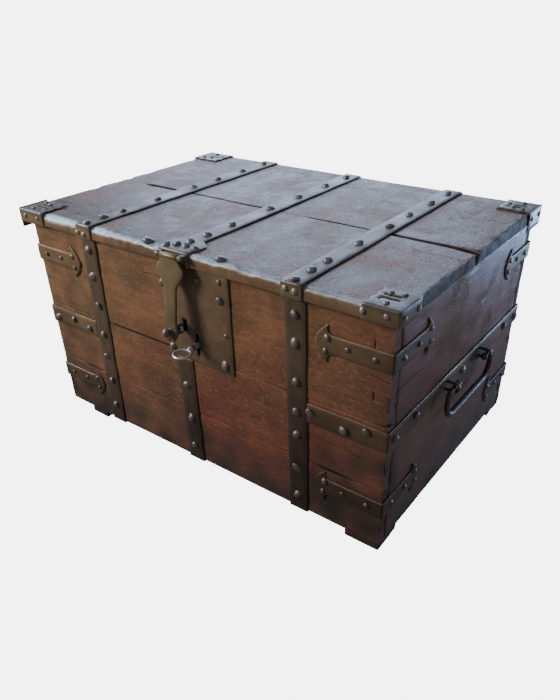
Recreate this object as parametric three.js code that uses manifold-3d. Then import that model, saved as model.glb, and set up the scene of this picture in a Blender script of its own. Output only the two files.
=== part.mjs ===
import * as THREE from 'three';
import { mergeVertices } from 'three/addons/utils/BufferGeometryUtils.js';
import Module from 'manifold-3d';

// An oak plank chest bound with iron, closed by a hasp and a lock with its key.
// Sizes are in millimetres. X runs along the chest, -Y is its front and Z is up from the floor.
// Iron lies on wood, and wood on wood, with a hair of air that stands for the rough fit of such work.

// Chest of boards
const CHEST_LENGTH = 700;
const CHEST_DEPTH = 478;
const RIM_HEIGHT = 373;
const BOARD_THICKNESS = 18;
const SEAT_GAP = 0.3;
const CUT_OVERRUN = 5;
const FRONT_LOWER_SEAM_SHARE = 0.474;
const END_SEAM_SHARE = 0.49;
const BACK_SEAM_SHARE = 0.55;

// Feet: the front left one is a worn stump that stands in from the corner
const FOOT_HEIGHT = 13;
const FOOT_LENGTH = 60;
const FOOT_DEPTH = 56;
const STUMP_LENGTH = 45;
const STUMP_INSET = 56;

// Lid: it sits a little to the left of the chest below it
const LID_THICKNESS = 20;
const LID_END_OVERHANG = 11;
const LID_OFFSET = -5;
const LID_FRONT_OVERHANG = 8;
const LID_BACK_OVERHANG = 2;
const LID_SEAM_SHARE = 0.473;
const BATTEN_CLEARANCE = 26;
const BATTEN_WIDTH = 34;
const BATTEN_THICKNESS = 14;

// Iron plate and its nails
const IRON_THICKNESS = 4;
const NAIL_RADIUS = 7;
const NAIL_HEIGHT = 5;
const SMALL_NAIL_RADIUS = 4.5;
const SMALL_NAIL_HEIGHT = 3;
const STUD_RADIUS = 10;
const STUD_HEIGHT = 6.5;
const NAIL_ROOT = 0.6;
const NAIL_SHOULDER_SHARE = 0.68;

// Straps: their centre lines on the body and on the lid, as shares of half the chest's length
const STRAP_WIDTH = 34;
const BODY_STRAP_SHARES = [-0.597, -0.034, 0.589];
const LID_STRAP_SHARES = [-0.577, -0.006, 0.583];
const FRONT_NAIL_SHARES = [0.09, 0.235, 0.395, 0.51, 0.655, 0.815, 0.94];
const SHORT_NAIL_SHARES = [0.15, 0.44, 0.76];
const BACK_NAIL_SHARES = [0.1, 0.26, 0.42, 0.58, 0.74, 0.88];
const LID_NAIL_SHARES = [0.016, 0.091, 0.174, 0.35, 0.53, 0.675, 0.815, 0.94];
const CENTRE_LID_NAIL_SHARES = [0.146, 0.26, 0.465, 0.62, 0.795, 0.94];
const LIP_NAIL_SPACING = 16;

// Strap hinges at the back
const KNUCKLE_RADIUS = 7;
const KNUCKLE_LID_WIDTH = 13;
const KNUCKLE_BODY_WIDTH = 10;
const KNUCKLE_GAP = 0.4;
const KNUCKLE_CLEARANCE = 1;
const HINGE_RISE = 5;
const HINGE_NECK_HEIGHT = 17;
const PIN_RADIUS = 3;
const PIN_CLEARANCE = 0.35;

// Middle band round each end
const BAND_HEIGHT = 33;
const BAND_LEVEL_SHARE = 0.522;
const BAND_FRONT_NAIL_SHARES = [0.24, 0.52, 0.88];
const BAND_END_NAIL_SHARES = [-0.465, -0.34, 0, 0.34, 0.465];

// Corner brackets on the body
const BRACKET_HEIGHT = 28;
const BRACKET_SPREAD = 56;
const BRACKET_SIDE_REACH = 113;
const BRACKET_FRONT_REACH_SHARE = 0.91;
const BRACKET_HORN_SHARE = 0.83;
const BRACKET_FLARE_SHARE = 0.72;
const BRACKET_LEVEL_SHARES = { lower: 0.19, upper: 0.853 };
const BRACKET_NAIL_SHARES = [[0.24, 0], [0.58, 0], [0.87, 0.52], [0.87, -0.52]];

// Corner brackets on the lid
const LID_BRACKET_LENGTH = 54;
const LID_BRACKET_DROP = 10;
const SHORT_BRACKET_DROP = 2;
const SCALLOP_DEPTH = 3;
const SCALLOPS = 3;
const SCALLOP_STEPS = 4;
const LID_BRACKET_NAIL_SHARES = [[0.2, 0.5], [0.5, 0.24], [0.7, 0.7]];
const LIP_NAIL_SHARES = [0.16, 0.84];

// Lid studs, beside the hasp
const STUD_OFFSETS = { left: -63, right: 77 };
const STUD_INSET = 10;

// Hasp: a leaf that hangs from the lid's front edge
const HASP_PLATE_WIDTH = 70;
const HASP_PLATE_DEPTH = 42;
const HASP_PLATE_SHOULDER = 10;
const HASP_LIP_WIDTH = 58;
const HASP_PLATE_NAIL_SHARES = [[-0.3, 0.2], [-0.15, 0.46], [0, 0.82], [0.13, 0.42], [0.38, 0.44]];
const HASP_KNUCKLE_RADIUS = 4.5;
const HASP_KNUCKLE_WIDTH = 34;
const HASP_SIDE_KNUCKLE_WIDTH = 10;
const HASP_PIN_RADIUS = 2;
const HASP_AXIS_DROP = 9;
const HASP_AXIS_STANDOFF = 5;
const HASP_REACH = 114;
const HASP_THICKNESS = 4;
const HASP_HALF_WIDTH = 26.5;
const HASP_REST_TILT_DEGREES = 7.1;
const HASP_OUTLINE_SHARES = [[0.64, 0.05], [0.74, 0.1], [1, 0.165], [0.93, 0.24], [0.7, 0.315], [0.46, 0.4],
  [0.44, 0.65], [0.42, 0.9], [0.5, 0.98], [0.44, 1.06], [0.32, 1.15], [0.12, 1.13]];
const HASP_NOTCH_SHARE = 1.07;

// Staple through the hasp's foot: a knob outside, a collar and a slotted nose inside
const KNOB_RADIUS = 7;
const KNOB_STANDOFF = 9.5;
const KNOB_NECK_RADIUS = 4.5;
const RIVET_RADIUS = 4;
const BOSS_RADIUS = 6.5;
const COLLAR_RADIUS = 9;
const COLLAR_THICKNESS = 3;
const COLLAR_CLEARANCE = 0.5;
const NOSE_HEIGHT = 16;
const NOSE_THICKNESS = 6;
const NOSE_WALL = 2.6;

// Lock
const LOCK_PLATE_LENGTH = 134;
const LOCK_PLATE_HEIGHT = 159;
const LOCK_PLATE_OFFSET = 24.5;
const LOCK_PLATE_BIG_NAIL_SHARES = [[-0.42, 0.12], [0.38, 0.12], [-0.42, 0.74], [0.38, 0.74]];
const LOCK_PLATE_SMALL_NAIL_SHARES = [[-0.38, 0.92], [0.06, 0.89], [0.38, 0.92], [0.43, 0.42]];
const SLOT_CLEARANCE = 1;
const SLOT_DROP = 3.5;
const LOCK_CASE_LENGTH = 112;
const LOCK_CASE_DEPTH = 26;
const LOCK_CASE_WALL = 2.5;
const LOCK_CASE_HEADROOM = 18;
const BOLT_HEIGHT = 8;
const BOLT_THICKNESS = 5;
const BOLT_TIP_OFFSET = 4;
const BOLT_LENGTH = 60;
const BOLT_CLEARANCE = 0.6;
const TALON_HEIGHT = 11;
const TALON_WIDTH = 5;
const TALON_FIRST_OFFSET = 36.3;
const TALON_SECOND_OFFSET = 44.5;
const RAIL_THICKNESS = 2;

// Key
const KEY_OFFSET = 22;
const KEY_DROP = 28;
const KEY_SHANK_RADIUS = 4.5;
const KEY_HOLE_CLEARANCE = 0.5;
const KEYHOLE_HEIGHT = 36;
const KEYHOLE_WIDTH = 6.3;
const KEYHOLE_MARGIN = 4;
const KEY_BIT_REACH = 17;
const KEY_BIT_THICKNESS = 3;
const KEY_BIT_WIDTH = 11;
const KEY_BIT_INSET = 3;
const KEY_BOW_RADIUS = 13.5;
const KEY_BOW_WIRE_RADIUS = 2;
const KEY_BOW_STANDOFF = 37;
const KEY_COLLAR_RADIUS = 6;
const KEY_COLLAR_STANDOFF = 18;
const KEY_COLLAR_SHOULDER_SHARE = 0.8;

// Bail handles on eye staples
const EYE_SPAN = 124;
const EYE_STANDOFF = 12;
const EYE_RADIUS = 9;
const EYE_THICKNESS = 8;
const EYE_CLEARANCE = 0.6;
const EYE_SHANK_WIDTH = 8;
const BAIL_RADIUS = 4.2;
const BAIL_OVERHANG = 18;
const BAIL_DROP = 46;
const BAIL_BEND_RADIUS = 13;
const BAIL_BALL_RADIUS = 6;
const BAIL_BALL_GAP = 1;

// Smoothness of round shapes
const NAIL_SIDES = 6;
const ROUND_SIDES = 16;
const BAIL_SIDES = 8;
const BAIL_STEPS = 40;
const BALL_STEPS = 8;
const BALL_OPEN_STEPS = 6;
const CURVE_STEPS = 5;
const WIRE_SIDES = 6;

// Places worked out from the sizes
const halfLength = CHEST_LENGTH / 2;
const halfDepth = CHEST_DEPTH / 2;
const boardHeight = RIM_HEIGHT - FOOT_HEIGHT;
const ironInner = halfDepth + SEAT_GAP;
const ironOuter = ironInner + IRON_THICKNESS;
const endInner = halfLength + SEAT_GAP;
const endOuter = endInner + IRON_THICKNESS;
const fittingTop = RIM_HEIGHT - SEAT_GAP;
const lidBottom = RIM_HEIGHT + SEAT_GAP;
const lidTop = lidBottom + LID_THICKNESS;
const lidHalfLength = halfLength + LID_END_OVERHANG;
const lidFront = -halfDepth - LID_FRONT_OVERHANG;
const lidBack = halfDepth + LID_BACK_OVERHANG;
const battenReach = halfDepth - BOARD_THICKNESS - BATTEN_CLEARANCE;
const lidIronBottom = lidTop + SEAT_GAP;
const lidIronTop = lidIronBottom + IRON_THICKNESS;
const hingeY = lidBack + KNUCKLE_CLEARANCE + KNUCKLE_RADIUS;
const hingeZ = RIM_HEIGHT + HINGE_RISE;
const haspX = LID_STRAP_SHARES[1] * halfLength;
const haspY = lidFront - SEAT_GAP - IRON_THICKNESS - HASP_AXIS_STANDOFF;
const haspZ = lidIronTop - HASP_AXIS_DROP;
const boltZ = haspZ - HASP_REACH;
const boltFront = -halfDepth;
const keyZ = boltZ - KEY_DROP;
const frontUpperSeam = keyZ - KEYHOLE_HEIGHT / 2 - KEYHOLE_MARGIN;
const frontLowerSeam = FOOT_HEIGHT + FRONT_LOWER_SEAM_SHARE * (frontUpperSeam - FOOT_HEIGHT);
const caseTop = boltZ + LOCK_CASE_HEADROOM;
const bandZ = FOOT_HEIGHT + BAND_LEVEL_SHARE * boardHeight;
const lockPlateBottom = fittingTop - LOCK_PLATE_HEIGHT;
const eyeX = endOuter + EYE_STANDOFF;

const oak = new THREE.MeshStandardMaterial({ color: 0x6d4a35, roughness: 0.82, metalness: 0 });
const oakInside = new THREE.MeshStandardMaterial({ color: 0x80603f, roughness: 0.9, metalness: 0 });
const iron = new THREE.MeshStandardMaterial({ color: 0x4a4038, roughness: 0.6, metalness: 0.75 });
const steel = new THREE.MeshStandardMaterial({ color: 0xb9b4ab, roughness: 0.32, metalness: 0.95 });

const wasm = await Module();
wasm.setup();

// A closed geometry as a solid that can be joined and cut.
function toSolid(geometry) {
  geometry.deleteAttribute('normal');
  geometry.deleteAttribute('uv');
  const merged = mergeVertices(geometry);
  const corners = merged.index.array;
  const triangles = [];
  for (let i = 0; i < corners.length; i += 3) {
    const [a, b, c] = [corners[i], corners[i + 1], corners[i + 2]];
    if (a !== b && b !== c && c !== a) triangles.push(a, b, c);
  }
  return new wasm.Manifold(new wasm.Mesh({
    numProp: 3,
    vertProperties: new Float32Array(merged.attributes.position.array),
    triVerts: new Uint32Array(triangles),
  }));
}

function toGeometry(solid) {
  const mesh = solid.getMesh();
  const geometry = new THREE.BufferGeometry();
  geometry.setAttribute('position', new THREE.BufferAttribute(new Float32Array(mesh.vertProperties), 3));
  geometry.setIndex(new THREE.BufferAttribute(new Uint32Array(mesh.triVerts), 1));
  geometry.computeVertexNormals();
  return geometry;
}

function join(solids) {
  return solids.reduce((whole, piece) => whole.add(piece));
}

function cut(solid, cutters) {
  return cutters.reduce((whole, cutter) => whole.subtract(cutter), solid);
}

// A box between two corners, each given as [x, y, z].
function block(low, high) {
  const size = high.map((value, i) => value - low[i]);
  const centre = high.map((value, i) => (value + low[i]) / 2);
  return toSolid(new THREE.BoxGeometry(...size).translate(...centre));
}

function outline(points) {
  return new THREE.Shape(points.map(([x, y]) => new THREE.Vector2(x, y)));
}

// A flat shape given in two directions and made thick along the third, from a start point.
function plate(shape, thickness, across, up, start) {
  const settings = { depth: thickness, bevelEnabled: false, curveSegments: CURVE_STEPS };
  const geometry = new THREE.ExtrudeGeometry(shape, settings);
  const out = new THREE.Vector3().crossVectors(across, up);
  const placing = new THREE.Matrix4().makeBasis(across, up, out).setPosition(...start);
  return toSolid(geometry.applyMatrix4(placing));
}

const axisX = new THREE.Vector3(1, 0, 0);
const axisY = new THREE.Vector3(0, 1, 0);
const axisZ = new THREE.Vector3(0, 0, 1);

// A profile drawn in Y and Z that runs along X, centred on x.
function alongX(shape, width, x) {
  return plate(shape, width, axisY, axisZ, [x - width / 2, 0, 0]);
}

// A round bar along X, centred on a point.
function barAlongX(radius, width, x, y, z) {
  const bar = new THREE.CylinderGeometry(radius, radius, width, ROUND_SIDES).rotateZ(Math.PI / 2);
  return toSolid(bar.translate(x, y, z));
}

// A turned piece whose profile gives [radius, y] pairs, with its axis along Y.
function turned(profile, sides = ROUND_SIDES) {
  return toSolid(new THREE.LatheGeometry(profile.map(([r, y]) => new THREE.Vector2(r, y)), sides));
}

// A domed nail head whose root is sunk in the iron at a point, facing along a direction.
function nail(x, y, z, facing, radius = NAIL_RADIUS, height = NAIL_HEIGHT) {
  const shoulder = NAIL_SHOULDER_SHARE;
  const dome = new THREE.LatheGeometry([
    new THREE.Vector2(0, -NAIL_ROOT),
    new THREE.Vector2(radius, -NAIL_ROOT),
    new THREE.Vector2(radius * shoulder, height * shoulder),
    new THREE.Vector2(0, height),
  ], NAIL_SIDES);
  dome.applyQuaternion(new THREE.Quaternion().setFromUnitVectors(axisY, facing));
  return toSolid(dome.translate(x, y, z));
}

function smallNail(x, y, z, facing) {
  return nail(x, y, z, facing, SMALL_NAIL_RADIUS, SMALL_NAIL_HEIGHT);
}

const towardsFront = new THREE.Vector3(0, -1, 0);
const towardsBack = axisY;
const upwards = axisZ;

function node(parent, name, shape, material, position = [0, 0, 0]) {
  const geometry = shape.isBufferGeometry ? shape : toGeometry(shape);
  const mesh = new THREE.Mesh(geometry, material);
  mesh.name = name;
  mesh.position.set(...position);
  parent.add(mesh);
  return mesh;
}

function boardNode(parent, name, material, low, high) {
  const size = high.map((value, i) => value - low[i]);
  const centre = high.map((value, i) => (value + low[i]) / 2);
  node(parent, name, new THREE.BoxGeometry(...size), material, centre);
}

// Three front boards lap over the ends. The upper one is notched from below for the lock case.
function addFrontBoards(chest) {
  const inside = -halfDepth + BOARD_THICKNESS;
  const low = (z) => [-halfLength, -halfDepth, z];
  const high = (z) => [halfLength, inside, z];
  boardNode(chest, 'front_lower_board', oak, low(FOOT_HEIGHT), high(frontLowerSeam - SEAT_GAP));
  boardNode(chest, 'front_middle_board', oak, low(frontLowerSeam), high(frontUpperSeam - SEAT_GAP));
  const notchHalf = LOCK_CASE_LENGTH / 2 + SEAT_GAP;
  const notch = block(
    [LOCK_PLATE_OFFSET - notchHalf, -halfDepth - CUT_OVERRUN, frontUpperSeam - CUT_OVERRUN],
    [LOCK_PLATE_OFFSET + notchHalf, inside + CUT_OVERRUN, caseTop + SEAT_GAP],
  );
  const upper = block(low(frontUpperSeam), high(RIM_HEIGHT));
  node(chest, 'front_upper_board', cut(upper, [notch]), oak);
}

function addBackBoards(chest) {
  const seam = FOOT_HEIGHT + BACK_SEAM_SHARE * boardHeight;
  const low = (z) => [-halfLength, halfDepth - BOARD_THICKNESS, z];
  const high = (z) => [halfLength, halfDepth, z];
  boardNode(chest, 'back_lower_board', oak, low(FOOT_HEIGHT), high(seam - SEAT_GAP));
  boardNode(chest, 'back_upper_board', oak, low(seam), high(RIM_HEIGHT));
}

// End boards stand between front and back. Their seam hides behind the middle band.
function addEndBoards(chest, side, sign) {
  const reach = halfDepth - BOARD_THICKNESS - SEAT_GAP;
  const seam = FOOT_HEIGHT + END_SEAM_SHARE * boardHeight;
  const centreX = sign * (halfLength - BOARD_THICKNESS / 2);
  const low = (z) => [centreX - BOARD_THICKNESS / 2, -reach, z];
  const high = (z) => [centreX + BOARD_THICKNESS / 2, reach, z];
  boardNode(chest, `${side}_lower_board`, oak, low(FOOT_HEIGHT), high(seam - SEAT_GAP));
  const upper = cut(block(low(seam), high(RIM_HEIGHT)), [eyeShankHole(sign, -1), eyeShankHole(sign, 1)]);
  node(chest, `${side}_upper_board`, upper, oak);
}

function addBottomBoards(chest) {
  const reachX = halfLength - BOARD_THICKNESS - SEAT_GAP;
  const reachY = halfDepth - BOARD_THICKNESS - SEAT_GAP;
  const top = FOOT_HEIGHT + BOARD_THICKNESS;
  const seam = SEAT_GAP / 2;
  boardNode(chest, 'bottom_front_board', oakInside, [-reachX, -reachY, FOOT_HEIGHT], [reachX, -seam, top]);
  boardNode(chest, 'bottom_back_board', oakInside, [-reachX, seam, FOOT_HEIGHT], [reachX, reachY, top]);
}

function addFeet(chest) {
  const top = FOOT_HEIGHT - SEAT_GAP;
  for (const [name, signX, signY] of [['front_right', 1, -1], ['back_left', -1, 1], ['back_right', 1, 1]]) {
    const centreX = signX * (halfLength - FOOT_LENGTH / 2);
    const centreY = signY * (halfDepth - FOOT_DEPTH / 2);
    boardNode(chest, `foot_${name}`, oak,
      [centreX - FOOT_LENGTH / 2, centreY - FOOT_DEPTH / 2, 0],
      [centreX + FOOT_LENGTH / 2, centreY + FOOT_DEPTH / 2, top]);
  }
  boardNode(chest, 'foot_front_left', oak,
    [-halfLength + STUMP_INSET, -halfDepth, 0],
    [-halfLength + STUMP_INSET + STUMP_LENGTH, -halfDepth + FOOT_DEPTH, top]);
}

// Both halves of a hinge lie on the line between the strap on the body and the strap on the lid.
function hingeX(index) {
  return (BODY_STRAP_SHARES[index] + LID_STRAP_SHARES[index]) / 2 * halfLength;
}

function hingeBore(width, x) {
  return barAlongX(PIN_RADIUS + PIN_CLEARANCE, width + 2 * CUT_OVERRUN, x, hingeY, hingeZ);
}

// A knuckle of the body strap, on a neck that swells out from the strap's top end.
function bodyKnuckle(x) {
  const neckFoot = fittingTop - HINGE_NECK_HEIGHT;
  const neck = outline([
    [ironInner, neckFoot], [ironOuter, neckFoot], [hingeY, hingeZ - KNUCKLE_RADIUS],
    [hingeY, hingeZ], [ironOuter, fittingTop], [ironInner, fittingTop],
  ]);
  return alongX(neck, KNUCKLE_BODY_WIDTH, x)
    .add(barAlongX(KNUCKLE_RADIUS, KNUCKLE_BODY_WIDTH, x, hingeY, hingeZ));
}

// A strap runs down the front, under the bottom and up the back, where it ends in two knuckles.
function addBodyStrap(chest, name, index) {
  const x = BODY_STRAP_SHARES[index] * halfLength;
  const isCentre = index === 1;
  const frontTop = isCentre ? lockPlateBottom - SEAT_GAP : fittingTop;
  const under = FOOT_HEIGHT - SEAT_GAP;
  const bend = outline([
    [-ironOuter, frontTop], [-ironOuter, under - IRON_THICKNESS], [ironOuter, under - IRON_THICKNESS],
    [ironOuter, fittingTop], [ironInner, fittingTop], [ironInner, under],
    [-ironInner, under], [-ironInner, frontTop],
  ]);
  const frontShares = isCentre ? SHORT_NAIL_SHARES : FRONT_NAIL_SHARES;
  const frontNails = frontShares.map((share) => (
    nail(x, -ironOuter, FOOT_HEIGHT + share * (frontTop - FOOT_HEIGHT), towardsFront)));
  const backNails = BACK_NAIL_SHARES.map((share) => (
    nail(x, ironOuter, FOOT_HEIGHT + share * (fittingTop - FOOT_HEIGHT), towardsBack)));
  const knuckleOffset = (KNUCKLE_LID_WIDTH + KNUCKLE_BODY_WIDTH) / 2 + KNUCKLE_GAP;
  const knuckles = [-1, 1].map((side) => bodyKnuckle(hingeX(index) + side * knuckleOffset));
  const strap = join([alongX(bend, STRAP_WIDTH, x), ...frontNails, ...backNails, ...knuckles]);
  node(chest, `body_strap_${name}`, cut(strap, [hingeBore(STRAP_WIDTH, hingeX(index))]), iron);
  const pinWidth = KNUCKLE_LID_WIDTH + 2 * (KNUCKLE_BODY_WIDTH + KNUCKLE_GAP);
  const pin = new THREE.CylinderGeometry(PIN_RADIUS, PIN_RADIUS, pinWidth, ROUND_SIDES).rotateZ(Math.PI / 2);
  node(chest, `hinge_pin_${name}`, pin, iron, [hingeX(index), hingeY, hingeZ]);
}

// A strap over the lid, turned down over its front edge, with one knuckle behind its back edge.
function addLidStrap(lid, name, index) {
  const x = LID_STRAP_SHARES[index] * halfLength;
  const front = lidFront - SEAT_GAP;
  const back = lidBack + SEAT_GAP;
  const lipBottom = hingeZ + KNUCKLE_RADIUS + KNUCKLE_CLEARANCE;
  const bend = outline([
    [front - IRON_THICKNESS, lidBottom], [front, lidBottom], [front, lidIronBottom], [back, lidIronBottom],
    [back, lipBottom], [back + IRON_THICKNESS, lipBottom], [back + IRON_THICKNESS, lidIronTop],
    [front - IRON_THICKNESS, lidIronTop],
  ]);
  const tongue = block(
    [hingeX(index) - KNUCKLE_LID_WIDTH / 2, back, hingeZ],
    [hingeX(index) + KNUCKLE_LID_WIDTH / 2, back + IRON_THICKNESS, lidIronTop],
  );
  const knuckle = barAlongX(KNUCKLE_RADIUS, KNUCKLE_LID_WIDTH, hingeX(index), hingeY, hingeZ);
  const span = lidBack - lidFront;
  const shares = index === 1 ? CENTRE_LID_NAIL_SHARES : LID_NAIL_SHARES;
  const topNails = shares.map((share) => nail(x, lidFront + share * span, lidIronTop, upwards));
  const lipMiddle = (lidBottom + lidTop) / 2;
  const fittings = index === 1 ? haspPlate(x) : [-1, 1].map((side) => (
    smallNail(x + side * LIP_NAIL_SPACING / 2, front - IRON_THICKNESS, lipMiddle, towardsFront)));
  const strap = join([alongX(bend, STRAP_WIDTH, x), tongue, knuckle, ...topNails, ...fittings]);
  const cuts = [hingeBore(STRAP_WIDTH, hingeX(index))];
  if (index === 1) cuts.push(haspBore());
  node(lid, `lid_strap_${name}`, cut(strap, cuts), iron);
}

function haspBore() {
  const width = HASP_PLATE_WIDTH + 2 * CUT_OVERRUN;
  return barAlongX(HASP_PIN_RADIUS + PIN_CLEARANCE, width, haspX, haspY, haspZ);
}

// The middle strap's front end widens into a plate, narrower again at the lip with the hasp's side knuckles.
function haspPlate(x) {
  const front = lidFront - SEAT_GAP;
  const half = HASP_PLATE_WIDTH / 2;
  const lipHalf = HASP_LIP_WIDTH / 2;
  const shoulder = lidFront + HASP_PLATE_SHOULDER;
  const top = block([x - half, shoulder, lidIronBottom], [x + half, lidFront + HASP_PLATE_DEPTH, lidIronTop]);
  const neck = block([x - lipHalf, front, lidIronBottom], [x + lipHalf, shoulder, lidIronTop]);
  const lip = block([x - lipHalf, front - IRON_THICKNESS, lidBottom], [x + lipHalf, front, lidIronTop]);
  const offset = (HASP_KNUCKLE_WIDTH + HASP_SIDE_KNUCKLE_WIDTH) / 2 + KNUCKLE_GAP;
  const knuckles = [-1, 1].flatMap((side) => {
    const centre = x + side * offset;
    const reach = HASP_SIDE_KNUCKLE_WIDTH / 2;
    return [
      barAlongX(HASP_KNUCKLE_RADIUS, HASP_SIDE_KNUCKLE_WIDTH, centre, haspY, haspZ),
      block(
        [centre - reach, haspY, haspZ - HASP_KNUCKLE_RADIUS],
        [centre + reach, front, haspZ + HASP_KNUCKLE_RADIUS],
      ),
    ];
  });
  const nails = HASP_PLATE_NAIL_SHARES.map(([shareX, shareY]) => (
    nail(x + shareX * HASP_PLATE_WIDTH, lidFront + shareY * HASP_PLATE_DEPTH, lidIronTop, upwards)));
  return [top, neck, lip, ...knuckles, ...nails];
}

// A band runs round each end at half height, from the outer strap in front to the one at the back.
function addMiddleBand(chest, side, sign) {
  const index = sign < 0 ? 0 : 2;
  const strapEdge = Math.abs(BODY_STRAP_SHARES[index]) * halfLength + STRAP_WIDTH / 2;
  const start = strapEdge + SEAT_GAP;
  const legLength = endOuter - start;
  const bend = outline([
    [sign * start, -ironOuter], [sign * endOuter, -ironOuter], [sign * endOuter, ironOuter],
    [sign * start, ironOuter], [sign * start, ironInner], [sign * endInner, ironInner],
    [sign * endInner, -ironInner], [sign * start, -ironInner],
  ]);
  const band = plate(bend, BAND_HEIGHT, axisX, axisY, [0, 0, bandZ - BAND_HEIGHT / 2]);
  const legNails = BAND_FRONT_NAIL_SHARES.flatMap((share) => {
    const x = sign * (endOuter - share * legLength);
    return [nail(x, -ironOuter, bandZ, towardsFront), nail(x, ironOuter, bandZ, towardsBack)];
  });
  const outwards = new THREE.Vector3(sign, 0, 0);
  const endNails = BAND_END_NAIL_SHARES.map((share) => (
    nail(sign * endOuter, share * CHEST_DEPTH, bandZ, outwards)));
  const whole = join([band, ...legNails, ...endNails]);
  node(chest, `middle_band_${side}`, cut(whole, [eyeShankHole(sign, -1), eyeShankHole(sign, 1)]), iron);
}

// One leg of a corner bracket, from the corner to its flared end with two horns and a point.
function bracketLeg(reach) {
  const half = BRACKET_HEIGHT / 2;
  const spread = BRACKET_SPREAD / 2;
  const horn = reach * BRACKET_HORN_SHARE;
  const flare = reach * BRACKET_FLARE_SHARE;
  const shape = new THREE.Shape();
  shape.moveTo(0, -half);
  shape.lineTo(flare, -half);
  shape.quadraticCurveTo(horn, -half, horn, -spread);
  shape.quadraticCurveTo(reach, -spread / 2, reach, 0);
  shape.quadraticCurveTo(reach, spread / 2, horn, spread);
  shape.quadraticCurveTo(horn, half, flare, half);
  shape.lineTo(0, half);
  return shape;
}

function addCornerBrackets(chest) {
  for (const [level, share] of Object.entries(BRACKET_LEVEL_SHARES)) {
    const z = FOOT_HEIGHT + share * boardHeight;
    for (const [side, signX] of [['left', -1], ['right', 1]]) {
      for (const [face, signY] of [['front', -1], ['back', 1]]) {
        node(chest, `bracket_${level}_${face}_${side}`, cornerBracket(signX, signY, z), iron);
      }
    }
  }
}

// A bracket wraps one upright corner, with a leg along the front or back and a leg along the end.
function cornerBracket(signX, signY, z) {
  const index = signX < 0 ? 0 : 2;
  const strapEdge = Math.abs(BODY_STRAP_SHARES[index]) * halfLength + STRAP_WIDTH / 2;
  const frontReach = (endOuter - strapEdge) * BRACKET_FRONT_REACH_SHARE;
  const alongFront = new THREE.Vector3(-signX, 0, 0);
  const alongEnd = new THREE.Vector3(0, -signY, 0);
  const up = new THREE.Vector3(0, 0, signX * signY);
  const down = up.clone().negate();
  const frontLeg = plate(bracketLeg(frontReach), IRON_THICKNESS, alongFront, up,
    [signX * endOuter, signY * ironInner, z]);
  const endLeg = plate(bracketLeg(BRACKET_SIDE_REACH), IRON_THICKNESS, alongEnd, down,
    [signX * endInner, signY * ironOuter, z]);
  const frontFacing = new THREE.Vector3(0, signY, 0);
  const endFacing = new THREE.Vector3(signX, 0, 0);
  const nails = BRACKET_NAIL_SHARES.flatMap(([reachShare, spreadShare]) => {
    const level = z + spreadShare * BRACKET_SPREAD / 2;
    return [
      smallNail(signX * (endOuter - reachShare * frontReach), signY * ironOuter, level, frontFacing),
      smallNail(signX * endOuter, signY * (ironOuter - reachShare * BRACKET_SIDE_REACH), level, endFacing),
    ];
  });
  return join([frontLeg, endLeg, ...nails]);
}

// The top leaf of a lid bracket: square at the lid's corner, scalloped along its two inner edges.
function scallopedLeaf(length) {
  const points = [[0, 0]];
  const steps = SCALLOPS * SCALLOP_STEPS;
  const wave = (i) => length - SCALLOP_DEPTH * Math.abs(Math.sin(Math.PI * i / SCALLOP_STEPS));
  for (let i = 0; i < steps; i += 1) points.push([wave(i), length * i / steps]);
  points.push([length, length]);
  for (let i = steps - 1; i >= 0; i -= 1) points.push([length * i / steps, wave(i)]);
  return outline(points);
}

// A lid bracket covers a corner of the lid and turns down over both edges, lower at the end.
// The front right one was cut short there.
function lidBracket(signX, signY) {
  const cornerX = LID_OFFSET + signX * (lidHalfLength + SEAT_GAP);
  const cornerY = signY < 0 ? lidFront - SEAT_GAP : lidBack + SEAT_GAP;
  const outerX = cornerX + signX * IRON_THICKNESS;
  const outerY = cornerY + signY * IRON_THICKNESS;
  const length = LID_BRACKET_LENGTH + IRON_THICKNESS;
  const inwards = new THREE.Vector3(-signX, 0, 0);
  const across = new THREE.Vector3(0, -signY, 0);
  const leaf = signX * signY > 0
    ? plate(scallopedLeaf(length), IRON_THICKNESS, inwards, across, [outerX, outerY, lidIronBottom])
    : plate(scallopedLeaf(length), IRON_THICKNESS, across, inwards, [outerX, outerY, lidIronBottom]);
  const between = (a, b) => [Math.min(a, b), Math.max(a, b)];
  const [x0, x1] = between(outerX, outerX - signX * length);
  const [y0, y1] = between(outerY, cornerY);
  const edgeLip = block([x0, y0, lidBottom], [x1, y1, lidIronTop]);
  const [u0, u1] = between(outerX, cornerX);
  const [v0, v1] = between(outerY, outerY - signY * length);
  const drop = signX > 0 && signY < 0 ? SHORT_BRACKET_DROP : LID_BRACKET_DROP;
  const endLip = block([u0, v0, lidBottom - drop], [u1, v1, lidIronTop]);
  const edgeFacing = new THREE.Vector3(0, signY, 0);
  const endFacing = new THREE.Vector3(signX, 0, 0);
  const middle = (lidBottom + lidTop) / 2;
  const lipNails = LIP_NAIL_SHARES.flatMap((share) => [
    smallNail(outerX - signX * share * length, outerY, middle, edgeFacing),
    smallNail(outerX, outerY - signY * share * length, middle, endFacing),
  ]);
  const leafNails = LID_BRACKET_NAIL_SHARES.map(([shareX, shareY]) => (
    smallNail(outerX - signX * shareX * length, outerY - signY * shareY * length, lidIronTop, upwards)));
  return join([leaf, edgeLip, endLip, ...lipNails, ...leafNails]);
}

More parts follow.
